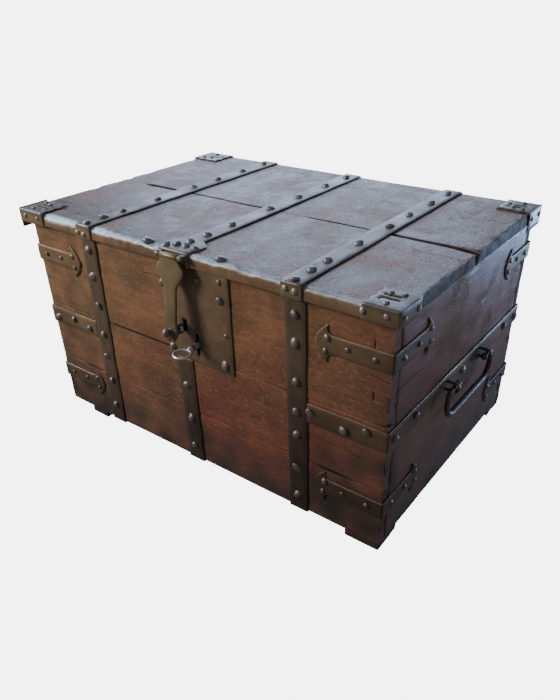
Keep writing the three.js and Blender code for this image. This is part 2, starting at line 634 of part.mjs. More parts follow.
function addLid(lid) {
  const seam = lidFront + LID_SEAM_SHARE * (lidBack - lidFront);
  boardNode(lid, 'lid_front_board', oak,
    [LID_OFFSET - lidHalfLength, lidFront, lidBottom], [LID_OFFSET + lidHalfLength, seam, lidTop]);
  boardNode(lid, 'lid_back_board', oak,
    [LID_OFFSET - lidHalfLength, seam + SEAT_GAP, lidBottom],
    [LID_OFFSET + lidHalfLength, lidBack, lidTop]);
  for (const [side, index] of [['left', 0], ['right', 2]]) {
    const x = LID_STRAP_SHARES[index] * halfLength;
    boardNode(lid, `lid_batten_${side}`, oakInside,
      [x - BATTEN_WIDTH / 2, -battenReach, lidBottom - SEAT_GAP - BATTEN_THICKNESS],
      [x + BATTEN_WIDTH / 2, battenReach, lidBottom - SEAT_GAP]);
  }
  for (const [side, signX] of [['left', -1], ['right', 1]]) {
    for (const [face, signY] of [['front', -1], ['back', 1]]) {
      node(lid, `lid_bracket_${face}_${side}`, lidBracket(signX, signY), iron);
    }
    const stud = nail(STUD_OFFSETS[side], lidFront + STUD_INSET, lidIronBottom + NAIL_ROOT, upwards,
      STUD_RADIUS, STUD_HEIGHT);
    node(lid, `lid_stud_${side}`, stud, iron);
  }
}

// The hasp's leaf hangs from its knuckle at the origin: a waisted plate with a forked foot.
function haspLeaf() {
  const right = HASP_OUTLINE_SHARES.map(([across, down]) => [across * HASP_HALF_WIDTH, -down * HASP_REACH]);
  const left = right.map(([x, z]) => [-x, z]).reverse();
  const shape = outline([...right, [0, -HASP_NOTCH_SHARE * HASP_REACH], ...left]);
  const leaf = plate(shape, HASP_THICKNESS, axisX, axisZ, [0, HASP_THICKNESS / 2, 0]);
  const neck = block(
    [-HASP_KNUCKLE_WIDTH / 2, -HASP_THICKNESS / 2, -HASP_OUTLINE_SHARES[1][1] * HASP_REACH],
    [HASP_KNUCKLE_WIDTH / 2, HASP_THICKNESS / 2, 0],
  );
  const knuckle = barAlongX(HASP_KNUCKLE_RADIUS, HASP_KNUCKLE_WIDTH, 0, 0, 0);
  const bore = barAlongX(HASP_PIN_RADIUS + PIN_CLEARANCE, HASP_KNUCKLE_WIDTH + 2 * CUT_OVERRUN, 0, 0, 0);
  const rivetHole = toSolid(new THREE.CylinderGeometry(
    RIVET_RADIUS + SEAT_GAP, RIVET_RADIUS + SEAT_GAP, HASP_THICKNESS + 2 * CUT_OVERRUN, ROUND_SIDES,
  ).translate(0, 0, -HASP_REACH));
  return cut(join([leaf, neck, knuckle]), [bore, rivetHole]);
}

// Depth of the lock plate's face behind the hasp's middle plane when the hasp hangs upright.
const plateDepth = -ironOuter - haspY;
const boltDepth = boltFront + BOLT_THICKNESS / 2 - haspY;
const collarDepth = plateDepth - COLLAR_CLEARANCE;
const noseDepth = boltDepth + BOLT_THICKNESS / 2 + BOLT_CLEARANCE + NOSE_WALL;

// The staple is turned about Y, and its flat nose has a window that the bolt passes through.
function haspStaple() {
  const face = HASP_THICKNESS / 2 + SEAT_GAP;
  const ball = [];
  for (let i = 0; i <= BALL_OPEN_STEPS; i += 1) {
    const angle = Math.PI * i / BALL_STEPS;
    ball.push([KNOB_RADIUS * Math.sin(angle), -KNOB_STANDOFF - KNOB_RADIUS * Math.cos(angle)]);
  }
  const body = turned([
    ...ball, [KNOB_NECK_RADIUS, -face], [RIVET_RADIUS, -face], [RIVET_RADIUS, face], [BOSS_RADIUS, face],
    [BOSS_RADIUS, collarDepth - COLLAR_THICKNESS], [COLLAR_RADIUS, collarDepth - COLLAR_THICKNESS],
    [COLLAR_RADIUS, collarDepth], [0, collarDepth],
  ]);
  const nose = block(
    [-NOSE_THICKNESS / 2, collarDepth - COLLAR_THICKNESS, -NOSE_HEIGHT / 2],
    [NOSE_THICKNESS / 2, noseDepth, NOSE_HEIGHT / 2],
  );
  const windowHalf = BOLT_HEIGHT / 2 + BOLT_CLEARANCE;
  const window = block(
    [-NOSE_THICKNESS, boltDepth - BOLT_THICKNESS / 2 - BOLT_CLEARANCE, -windowHalf],
    [NOSE_THICKNESS, boltDepth + BOLT_THICKNESS / 2 + BOLT_CLEARANCE, windowHalf],
  );
  return cut(join([body, nose]), [window]);
}

function addHasp(lid) {
  const hasp = new THREE.Group();
  hasp.position.set(haspX, haspY, haspZ);
  hasp.rotation.x = -THREE.MathUtils.degToRad(HASP_REST_TILT_DEGREES);
  lid.add(hasp);
  node(hasp, 'hasp', haspLeaf(), iron);
  node(hasp, 'hasp_staple', haspStaple(), iron, [0, 0, -HASP_REACH]);
  const pinWidth = HASP_KNUCKLE_WIDTH + 2 * (HASP_SIDE_KNUCKLE_WIDTH + KNUCKLE_GAP);
  const pin = new THREE.CylinderGeometry(HASP_PIN_RADIUS, HASP_PIN_RADIUS, pinWidth, ROUND_SIDES);
  node(lid, 'hasp_pin', pin.rotateZ(Math.PI / 2), iron, [haspX, haspY, haspZ]);
}

// The lock plate has a keyhole and, beside it, a slot for the staple's nose.
function lockPlate() {
  const left = LOCK_PLATE_OFFSET - LOCK_PLATE_LENGTH / 2;
  const right = left + LOCK_PLATE_LENGTH;
  const sheet = block([left, -ironOuter, lockPlateBottom], [right, -ironInner, fittingTop]);
  const slotHalf = NOSE_THICKNESS / 2 + SLOT_CLEARANCE;
  const slot = block(
    [haspX - slotHalf, -ironOuter - CUT_OVERRUN, boltZ - NOSE_HEIGHT / 2 - SLOT_DROP],
    [haspX + slotHalf, -ironInner + CUT_OVERRUN, boltZ + NOSE_HEIGHT / 2 + SLOT_CLEARANCE],
  );
  const keyhole = block(
    [KEY_OFFSET - KEYHOLE_WIDTH / 2, -ironOuter - CUT_OVERRUN, keyZ - KEYHOLE_HEIGHT / 2],
    [KEY_OFFSET + KEYHOLE_WIDTH / 2, -ironInner + CUT_OVERRUN, keyZ + KEYHOLE_HEIGHT / 2],
  );
  const place = (nailMaker) => ([shareX, shareZ]) => nailMaker(
    LOCK_PLATE_OFFSET + shareX * LOCK_PLATE_LENGTH, -ironOuter, lockPlateBottom + shareZ * LOCK_PLATE_HEIGHT,
    towardsFront);
  const nails = [
    ...LOCK_PLATE_BIG_NAIL_SHARES.map(place(nail)),
    ...LOCK_PLATE_SMALL_NAIL_SHARES.map(place(smallNail)),
  ];
  return cut(join([sheet, ...nails]), [slot, keyhole, keyShankHole()]);
}

function keyShankHole() {
  const radius = KEY_SHANK_RADIUS + KEY_HOLE_CLEARANCE;
  const depth = 2 * (LOCK_CASE_DEPTH + CUT_OVERRUN);
  const drill = new THREE.CylinderGeometry(radius, radius, depth, ROUND_SIDES);
  return toSolid(drill.translate(KEY_OFFSET, -halfDepth, keyZ));
}

// The case is a tray let into the front board, with two rails that the bolt slides between.
function lockCase() {
  const low = [LOCK_PLATE_OFFSET - LOCK_CASE_LENGTH / 2, -halfDepth, frontUpperSeam];
  const high = [LOCK_PLATE_OFFSET + LOCK_CASE_LENGTH / 2, -halfDepth + LOCK_CASE_DEPTH, caseTop];
  const wall = LOCK_CASE_WALL;
  const hollow = block(
    [low[0] + wall, low[1] - CUT_OVERRUN, low[2] + wall],
    [high[0] - wall, high[1] - wall, high[2] - wall],
  );
  const railBack = high[1] - wall / 2;
  const rail = (z, from, to) => block([from, boltFront, z], [to, railBack, z + RAIL_THICKNESS]);
  const boltHalf = BOLT_HEIGHT / 2 + SEAT_GAP;
  const railEnd = high[0] - wall / 2;
  const lowerRail = rail(boltZ - boltHalf - RAIL_THICKNESS, TALON_SECOND_OFFSET + 2 * TALON_WIDTH, railEnd);
  const upperRail = rail(boltZ + boltHalf, BOLT_TIP_OFFSET + TALON_WIDTH, railEnd);
  return cut(join([cut(block(low, high), [hollow]), lowerRail, upperRail]), [keyShankHole()]);
}

// The bolt carries two talons that hang into the path of the key's bit.
function lockBolt() {
  const back = BOLT_THICKNESS;
  const half = BOLT_HEIGHT / 2;
  const bar = block([BOLT_TIP_OFFSET, 0, -half], [BOLT_TIP_OFFSET + BOLT_LENGTH, back, half]);
  const talon = (x0, x1) => block([x0, 0, -half - TALON_HEIGHT], [x1, back, 0]);
  return join([
    bar,
    talon(TALON_FIRST_OFFSET - TALON_WIDTH, TALON_FIRST_OFFSET),
    talon(TALON_SECOND_OFFSET, TALON_SECOND_OFFSET + TALON_WIDTH),
  ]);
}

// The key lies along Y in its own group, with its bow flat and its bit towards the bolt's tail.
function keySolid() {
  const bow = new THREE.TorusGeometry(KEY_BOW_RADIUS, KEY_BOW_WIRE_RADIUS, WIRE_SIDES, ROUND_SIDES);
  const shankStart = -KEY_BOW_STANDOFF + KEY_BOW_RADIUS;
  const shankEnd = LOCK_CASE_DEPTH - LOCK_CASE_WALL / 2;
  const collar = KEY_COLLAR_RADIUS;
  const shoulder = KEY_COLLAR_SHOULDER_SHARE * collar;
  const shank = turned([
    [0, shankStart - KEY_BOW_WIRE_RADIUS / 2], [KEY_SHANK_RADIUS / 2, shankStart],
    [shoulder, -KEY_COLLAR_STANDOFF - collar / 2], [collar, -KEY_COLLAR_STANDOFF],
    [shoulder, -KEY_COLLAR_STANDOFF + collar / 2], [KEY_SHANK_RADIUS, -KEY_COLLAR_STANDOFF + collar],
    [KEY_SHANK_RADIUS, shankEnd], [0, shankEnd],
  ]);
  const bitHalf = KEY_BIT_THICKNESS / 2;
  const bit = block([0, KEY_BIT_INSET, -bitHalf], [KEY_BIT_REACH, KEY_BIT_INSET + KEY_BIT_WIDTH, bitHalf]);
  return join([toSolid(bow.translate(0, -KEY_BOW_STANDOFF, 0)), shank, bit]);
}

function addLock(chest) {
  node(chest, 'lock_plate', lockPlate(), iron);
  node(chest, 'lock_case', lockCase(), iron);
  node(chest, 'lock_bolt', lockBolt(), steel, [0, boltFront, boltZ]);
  node(chest, 'key', keySolid(), steel, [KEY_OFFSET, -halfDepth, keyZ]);
}

// The square hole in the band and the board that an eye staple's shank goes through.
function eyeShankHole(sign, end) {
  const half = EYE_SHANK_WIDTH / 2 + SEAT_GAP;
  const y = end * EYE_SPAN / 2;
  const far = sign * (endOuter + CUT_OVERRUN);
  const near = sign * (halfLength - BOARD_THICKNESS - CUT_OVERRUN);
  return block([Math.min(far, near), y - half, bandZ - half], [Math.max(far, near), y + half, bandZ + half]);
}

// An eye staple at its own group: a flat eye that stands out, and a shank driven into the board.
function eyeStaple(sign) {
  const root = -EYE_STANDOFF + SEAT_GAP;
  const half = EYE_RADIUS * Math.cos(Math.PI / 4);
  const shape = new THREE.Shape();
  shape.moveTo(root, -half);
  shape.lineTo(half, -half);
  shape.absarc(0, 0, EYE_RADIUS, -Math.PI / 4, Math.PI / 4, false);
  shape.lineTo(root, half);
  const hole = new THREE.Path();
  hole.absarc(0, 0, BAIL_RADIUS + EYE_CLEARANCE, 0, 2 * Math.PI, true);
  shape.holes.push(hole);
  const outwards = new THREE.Vector3(sign, 0, 0);
  const up = new THREE.Vector3(0, 0, -sign);
  const eye = plate(shape, EYE_THICKNESS, outwards, up, [0, -EYE_THICKNESS / 2, 0]);
  const tip = sign * (-EYE_STANDOFF - IRON_THICKNESS - SEAT_GAP - BOARD_THICKNESS);
  const base = sign * (root + NAIL_ROOT);
  const shankHalf = EYE_SHANK_WIDTH / 2;
  const shank = block(
    [Math.min(tip, base), -shankHalf, -shankHalf],
    [Math.max(tip, base), shankHalf, shankHalf],
  );
  return join([eye, shank]);
}

// A path of straight lines with rounded corners.
function roundedPath(corners, radius) {
  const path = new THREE.CurvePath();
  let from = corners[0];
  for (let i = 1; i < corners.length - 1; i += 1) {
    const before = corners[i].clone().sub(corners[i - 1]).setLength(radius);
    const after = corners[i + 1].clone().sub(corners[i]).setLength(radius);
    const bendStart = corners[i].clone().sub(before);
    const bendEnd = corners[i].clone().add(after);
    path.add(new THREE.LineCurve3(from, bendStart));
    path.add(new THREE.QuadraticBezierCurve3(bendStart, corners[i], bendEnd));
    from = bendEnd;
  }
  path.add(new THREE.LineCurve3(from, corners[corners.length - 1]));
  return path;
}

// The bail is a round bar bent into a wide loop. Its ends turn in through the eyes and carry balls.
function bailSolid() {
  const endY = EYE_SPAN / 2 - EYE_THICKNESS / 2 - BAIL_BALL_GAP - BAIL_BALL_RADIUS;
  const side = EYE_SPAN / 2 + BAIL_OVERHANG;
  const corners = [[-endY, 0], [-side, 0], [-side, -BAIL_DROP], [side, -BAIL_DROP], [side, 0], [endY, 0]];
  const path = roundedPath(corners.map(([y, z]) => new THREE.Vector3(0, y, z)), BAIL_BEND_RADIUS);
  const section = new THREE.Shape();
  section.absarc(0, 0, BAIL_RADIUS, 0, 2 * Math.PI, false);
  const bar = new THREE.ExtrudeGeometry(section, {
    steps: BAIL_STEPS, curveSegments: BAIL_SIDES / 2, extrudePath: path, bevelEnabled: false,
  });
  const balls = [-endY, endY].map((y) => (
    toSolid(new THREE.SphereGeometry(BAIL_BALL_RADIUS, BAIL_SIDES, BAIL_SIDES / 2 + 1).translate(0, y, 0))));
  return join([toSolid(bar), ...balls]);
}

function addHandle(chest, side, sign) {
  const handle = new THREE.Group();
  handle.position.set(sign * eyeX, 0, bandZ);
  chest.add(handle);
  node(handle, `handle_${side}`, bailSolid(), iron);
  for (const [place, end] of [['front', -1], ['back', 1]]) {
    node(handle, `handle_eye_${side}_${place}`, eyeStaple(sign), iron, [0, end * EYE_SPAN / 2, 0]);
  }
}

function buildChest() {
  const chest = new THREE.Group();
  addFrontBoards(chest);
  addBackBoards(chest);
  addBottomBoards(chest);
  addFeet(chest);
  addCornerBrackets(chest);
  addLock(chest);
  const lid = new THREE.Group();
  chest.add(lid);
  addLid(lid);
  addHasp(lid);
  ['left', 'centre', 'right'].forEach((name, index) => {
    addBodyStrap(chest, name, index);
    addLidStrap(lid, name, index);
  });
  for (const [side, sign] of [['left', -1], ['right', 1]]) {
    addEndBoards(chest, side, sign);
    addMiddleBand(chest, side, sign);
    addHandle(chest, side, sign);
  }
  return chest;
}

// The finished chest stands with the middle of its footprint, key and hinges included, over the origin.
const strongbox = new THREE.Group();
const frontReach = halfDepth + KEY_BOW_STANDOFF + KEY_BOW_RADIUS + KEY_BOW_WIRE_RADIUS;
const backReach = hingeY + KNUCKLE_RADIUS;
const chest = buildChest();
chest.position.y = (frontReach - backReach) / 2;
strongbox.add(chest);

export default strongbox;
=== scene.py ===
import bpy
import numpy as np
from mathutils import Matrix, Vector


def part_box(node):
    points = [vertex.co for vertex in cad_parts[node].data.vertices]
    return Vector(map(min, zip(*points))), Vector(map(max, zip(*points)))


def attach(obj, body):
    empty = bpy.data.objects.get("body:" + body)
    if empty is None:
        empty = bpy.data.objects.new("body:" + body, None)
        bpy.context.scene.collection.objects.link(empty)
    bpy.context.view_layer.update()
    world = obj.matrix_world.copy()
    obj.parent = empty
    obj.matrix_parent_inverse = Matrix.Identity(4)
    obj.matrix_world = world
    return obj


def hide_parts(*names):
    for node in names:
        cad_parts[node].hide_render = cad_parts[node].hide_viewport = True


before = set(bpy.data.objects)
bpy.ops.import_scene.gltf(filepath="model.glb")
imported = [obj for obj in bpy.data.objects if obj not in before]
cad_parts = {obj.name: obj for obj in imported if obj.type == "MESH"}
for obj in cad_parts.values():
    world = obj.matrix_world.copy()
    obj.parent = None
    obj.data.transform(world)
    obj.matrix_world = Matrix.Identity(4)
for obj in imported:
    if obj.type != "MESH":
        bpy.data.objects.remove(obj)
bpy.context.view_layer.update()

# The camera
# It looks down on the chest from the front right, from where the photograph was taken.
# The shift only puts the chest at the photograph's place in a 560 by 700 picture.
PICTURE_HEIGHT, FOCAL_LENGTH = 700.0, 633.9  # both in pixels
camera_data = bpy.data.cameras.new("camera")
camera_data.sensor_width = 36.0
camera_data.lens = FOCAL_LENGTH / PICTURE_HEIGHT * camera_data.sensor_width
camera_data.shift_x = -0.01006
camera_data.shift_y = 0.0583
camera_data.clip_end = 3000.0
camera = bpy.data.objects.new("camera", camera_data)
camera.location = (0.64238, -0.82445, 0.70872)
camera.rotation_euler = np.radians((57.26711, 1.01910, 36.32908))
bpy.context.scene.collection.objects.link(camera)
bpy.context.scene.camera = camera

# The studio
# A plain pale floor without end, a warm soft light from the left in front that fades to the right,
# a low cool softbox behind that lays a sheen on the lid, a small one at the left for the lid's rubbed
# edge, a low strip behind the right end for its sheen, and a weak fill from the right.


def area_light(name, place, target, size, power, colour):
    """A soft rectangular light at a place, turned towards a target."""
    data = bpy.data.lights.new(name, "AREA")
    data.shape = "RECTANGLE"
    data.size, data.size_y = size
    data.energy = power
    data.color = colour
    light = bpy.data.objects.new(name, data)
    light.location = place
    light.visible_camera = False
    way = Vector(target) - Vector(place)
    light.rotation_euler = way.to_track_quat("-Z", "Y").to_euler()
    bpy.context.scene.collection.objects.link(light)


area_light("key", (-1.25, -1.35, 1.25), (-0.15, -0.2, 0.25), (0.55, 0.7), 44.0, (1.0, 0.90, 0.76))
area_light("sky", (-1.7, 2.55, 1.45), (0.0, 0.1, 0.4), (2.6, 1.7), 64.0, (0.60, 0.74, 1.0))
area_light("edge", (-1.95, -0.35, 1.65), (0.0, -0.25, 0.39), (0.7, 0.6), 46.0, (0.55, 0.74, 1.0))
area_light("end", (0.95, 1.25, 0.14), (0.36, 0.15, 0.28), (0.9, 0.26), 13.0, (0.40, 0.62, 1.0))
area_light("fill", (2.0, 0.2, 1.1), (0.36, 0.0, 0.2), (1.2, 1.0), 3.0, (1.0, 0.80, 0.84))

world = bpy.data.worlds.new("studio")
bpy.context.scene.world = world
world.use_nodes = True
world.node_tree.nodes["Background"].inputs["Color"].default_value = (0.86, 0.88, 0.92, 1.0)
world.node_tree.nodes["Background"].inputs["Strength"].default_value = 0.22

far = 900.0
floor_mesh = bpy.data.meshes.new("floor")
floor_mesh.from_pydata([(-far, -far, 0), (far, -far, 0), (far, far, 0), (-far, far, 0)], [], [(0, 1, 2, 3)])
floor = bpy.data.objects.new("floor", floor_mesh)
bpy.context.scene.collection.objects.link(floor)
floor_paint = bpy.data.materials.new("floor_paint")
floor_paint.use_nodes = True
floor_look = floor_paint.node_tree.nodes["Principled BSDF"].inputs
floor_look["Base Color"].default_value = (0.10, 0.10, 0.10, 1.0)
floor_look["Roughness"].default_value = 0.9
floor_look["Emission Color"].default_value = (1.0, 1.0, 1.0, 1.0)
floor_look["Emission Strength"].default_value = 5.7
floor_mesh.materials.append(floor_paint)
floor.visible_diffuse = False
floor.visible_glossy = False

# The front boards
# Three oak boards lie edge to edge across the front, dark and worn, with a few drying cracks.
# They lap over the ends and are held by the iron. Each is cut with its grain along the chest.
MM = 0.001
RIGHT, BACK, UP = (1, 0, 0), (0, 1, 0), (0, 0, 1)
HALF_LENGTH, HALF_DEPTH, HALF_HEIGHT, LID_FACE = 350, 239, 190, 390
front_low, back_high = np.array(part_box("front_lower_board")[0]), np.array(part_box("back_lower_board")[1])
middle = np.array((0.0, (front_low[1] + back_high[1]) / 2, 0.0)) / MM


def cad(node):
    """The lowest and highest corners of a CAD node, in millimetres from the middle of the chest's floor."""
    low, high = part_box(node)
    return np.array(low) / MM - middle, np.array(high) / MM - middle


def drift(points, scale, seed, count=14):
    """A smooth random field from about -1 to 1: the mean of plane sine waves in random directions,
    each of a length near the scale, times the root of twice their number."""
    rng = np.random.default_rng(seed)
    ways = rng.normal(size=(count, 3))
    ways /= np.linalg.norm(ways, axis=1, keepdims=True)
    ways *= 2 * np.pi / scale * rng.uniform(0.6, 1.5, (count, 1))
    phases = rng.uniform(0, 2 * np.pi, count)
    return np.sin(points @ ways.T + phases).mean(-1) * np.sqrt(2 * count) / 1.6


def ruled(marks, step):
    """Lattice lines from the first mark to the last, one on every mark and the rest evenly between them."""
    lines = [np.linspace(a, b, max(1, round((b - a) / step)) + 1)[:-1] for a, b in zip(marks[:-1], marks[1:])]
    return np.append(np.concatenate(lines), marks[-1])


def middles(line):
    """The places halfway between lattice lines."""
    return (line[1:] + line[:-1]) / 2


def skin(keep):
    """The quads between kept and left-out cells of a lattice. A quad lies wherever a cell and the next one
    along an axis differ, and all of them face the same side of the skin."""
    corners = np.arange(np.prod(np.array(keep.shape) + 1)).reshape(np.array(keep.shape) + 1)
    padded = np.pad(keep, 1)
    quads = []
    for axis in range(3):
        cells = np.moveaxis(padded, axis, 0)[:, 1:-1, 1:-1]
        number = np.moveaxis(corners, axis, 0)
        for forward in (True, False):
            before, after = cells[:-1], cells[1:]
            i, j, k = np.nonzero(before & ~after if forward else after & ~before)
            ring = [number[i, j, k], number[i, j + 1, k], number[i, j + 1, k + 1], number[i, j, k + 1]]
            turn = forward == (axis != 1)
            quads.append(np.stack(ring if turn else ring[::-1], 1))
    return np.concatenate(quads)


def shell(points, faces, **masks):
    """One closed shell: only the points that faces use, and the faces turned outwards, which is where the
    volume inside them comes out above zero. A quad whose last two corners are equal is a triangle."""
    used, faces = np.unique(faces, return_inverse=True)
    faces = faces.reshape(-1, 4)
    points = points.reshape(-1, 3)[used]
    a, b, c, d = (points[faces[:, i]] for i in range(4))
    volume = np.einsum("ij,ij->", a, np.cross(b, c) + np.cross(c, d))
    if volume < 0:
        faces = faces[:, [1, 0, 3, 2]]
    return points, faces, {name: mask.reshape(-1)[used] for name, mask in masks.items()}


def outer_darkening_at(points):
    """Darkening on the outer 8 to 16 mm: it fades with the height over the floor, more slowly below the left
    bracket in front, as a step at half height on the right there, and it darkens the front right corner."""
    x, y, z = points.T
    outer_darkening, in_front = np.exp(-z / 85), y < -200
    below_left, below_right = in_front * np.clip(((-225 - x) / 20, (x - 215) / 20), 0, 1)
    outer_darkening += below_left * (1.1 * np.exp(-z / 156) - outer_darkening)
    outer_darkening += below_right * (0.72 / (1 + np.exp((z - 185) / 20)) - outer_darkening)
    corner = 0.42 * (z < 370) * np.exp(-np.maximum(HALF_LENGTH - x, 0) / 30 - np.maximum(y + 240, 0) / 75)
    outer_darkening = np.maximum(outer_darkening, corner) * (1 + 0.3 * drift(points, 60.0, 6))
    inward = np.minimum(HALF_LENGTH - abs(x), HALF_DEPTH - abs(y))
    return outer_darkening * np.clip((16 - inward) / 8, 0, 1)


def make(node, finish, shells, body, material):
    """One object from shells of points, quads and masks, carried by a CAD body in place of a CAD node. Each
    point also has a share from 0, high on the left, to 1, low on the right, of a colour shift that is partly
    painted shade, and a mask of the lid's top."""
    start, points, faces, masks = 0, [], [], {"wear": [], "dirt": [], "nail": []}
    for shell_points, shell_faces, shell_masks in shells:
        points.append(shell_points)
        faces.append(shell_faces + start)
        start += len(shell_points)
        for key, values in masks.items():
            values.append(shell_masks.get(key, np.zeros(len(shell_points))))
    points, faces = np.concatenate(points), np.concatenate(faces)
    masks = {key: np.concatenate(values) for key, values in masks.items()}
    x, z = points[:, 0], points[:, 2]
    # This share rises towards the lower right, where less light falls: it makes the wood redder, its own
    # colour, and darkens wood and iron as painted shade.
    tone_and_shade = 0.5 + 0.4 * x / HALF_LENGTH - 0.42 * (z - HALF_HEIGHT) / HALF_HEIGHT
    masks["tone_and_shade"] = np.clip(tone_and_shade + 0.2 * drift(points, 170.0, 5), 0, 1)
    masks["top"] = np.clip((z - LID_FACE + 2) / 4, 0, 1)
    # The darkening towards the floor and in the front right corner joins this mask.
    masks["dirt"] = np.clip(np.maximum(masks["dirt"], outer_darkening_at(points)), 0, 1)
    flat = faces[:, 2] == faces[:, 3]
    mesh = bpy.data.meshes.new(f"{node}_{finish}")
    mesh.from_pydata(((points + middle) * MM).tolist(), [], faces[~flat].tolist() + faces[flat, :3].tolist())
    for key, values in masks.items():
        layer = mesh.attributes.new(key, "FLOAT", "POINT")
        layer.data.foreach_set("value", values.astype(np.float32))
    mesh.polygons.foreach_set("use_smooth", np.ones(len(mesh.polygons), bool))
    mesh.set_sharp_from_angle(angle=np.radians(50.0))
    mesh.materials.append(material)
    mesh.update()
    piece = bpy.data.objects.new(f"{node}_{finish}", mesh)
    bpy.context.scene.collection.objects.link(piece)
    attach(piece, body)
    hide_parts(node)


def cracked(along, across, cracks, seed):
    """What cracks do to a lattice, each with its line, half width and depth: how far a point moves across
    the board, how deep it drops and how dark it is. Rows near a crack bend towards its wavering line, one
    row drops into the groove, and its two neighbours stand on the groove's lips. A crack that ends within
    the board closes over its last stretch, as the root of the way left."""
    closing, bending = 14.0, 6.0
    move, drop, dark = (np.zeros((len(along), len(across))) for _ in range(3))
    for number, (line, half, deep) in enumerate(cracks):
        line = np.array(line, float)
        where = np.interp(along, line[:, 0], line[:, 1])
        where += 0.9 * drift(np.stack((along, 0 * along, 0 * along), 1), 30.0, seed * 31 + number)
        row = np.argmin(abs(across - line[:, 1].mean()))
        starts = np.clip((along - line[0, 0]) / closing, 0, 1) if line[0, 0] > 0 else 1.0
        ends = np.clip((line[-1, 0] - along) / closing, 0, 1) if line[-1, 0] < along[-1] else 1.0
        share = np.sqrt(starts * ends)
        pull = np.clip(1 - abs(np.arange(len(across)) - row) / bending, 0, 1)
        bend = (where - across[row])[:, None] * pull[None, :]
        for side in (-1, 1):
            bend[:, row + side] = where + side * (0.25 + half * share) - across[row + side]
        move += bend
        drop[:, row] += deep * share
        dark[:, row] = share
    return move, drop, dark


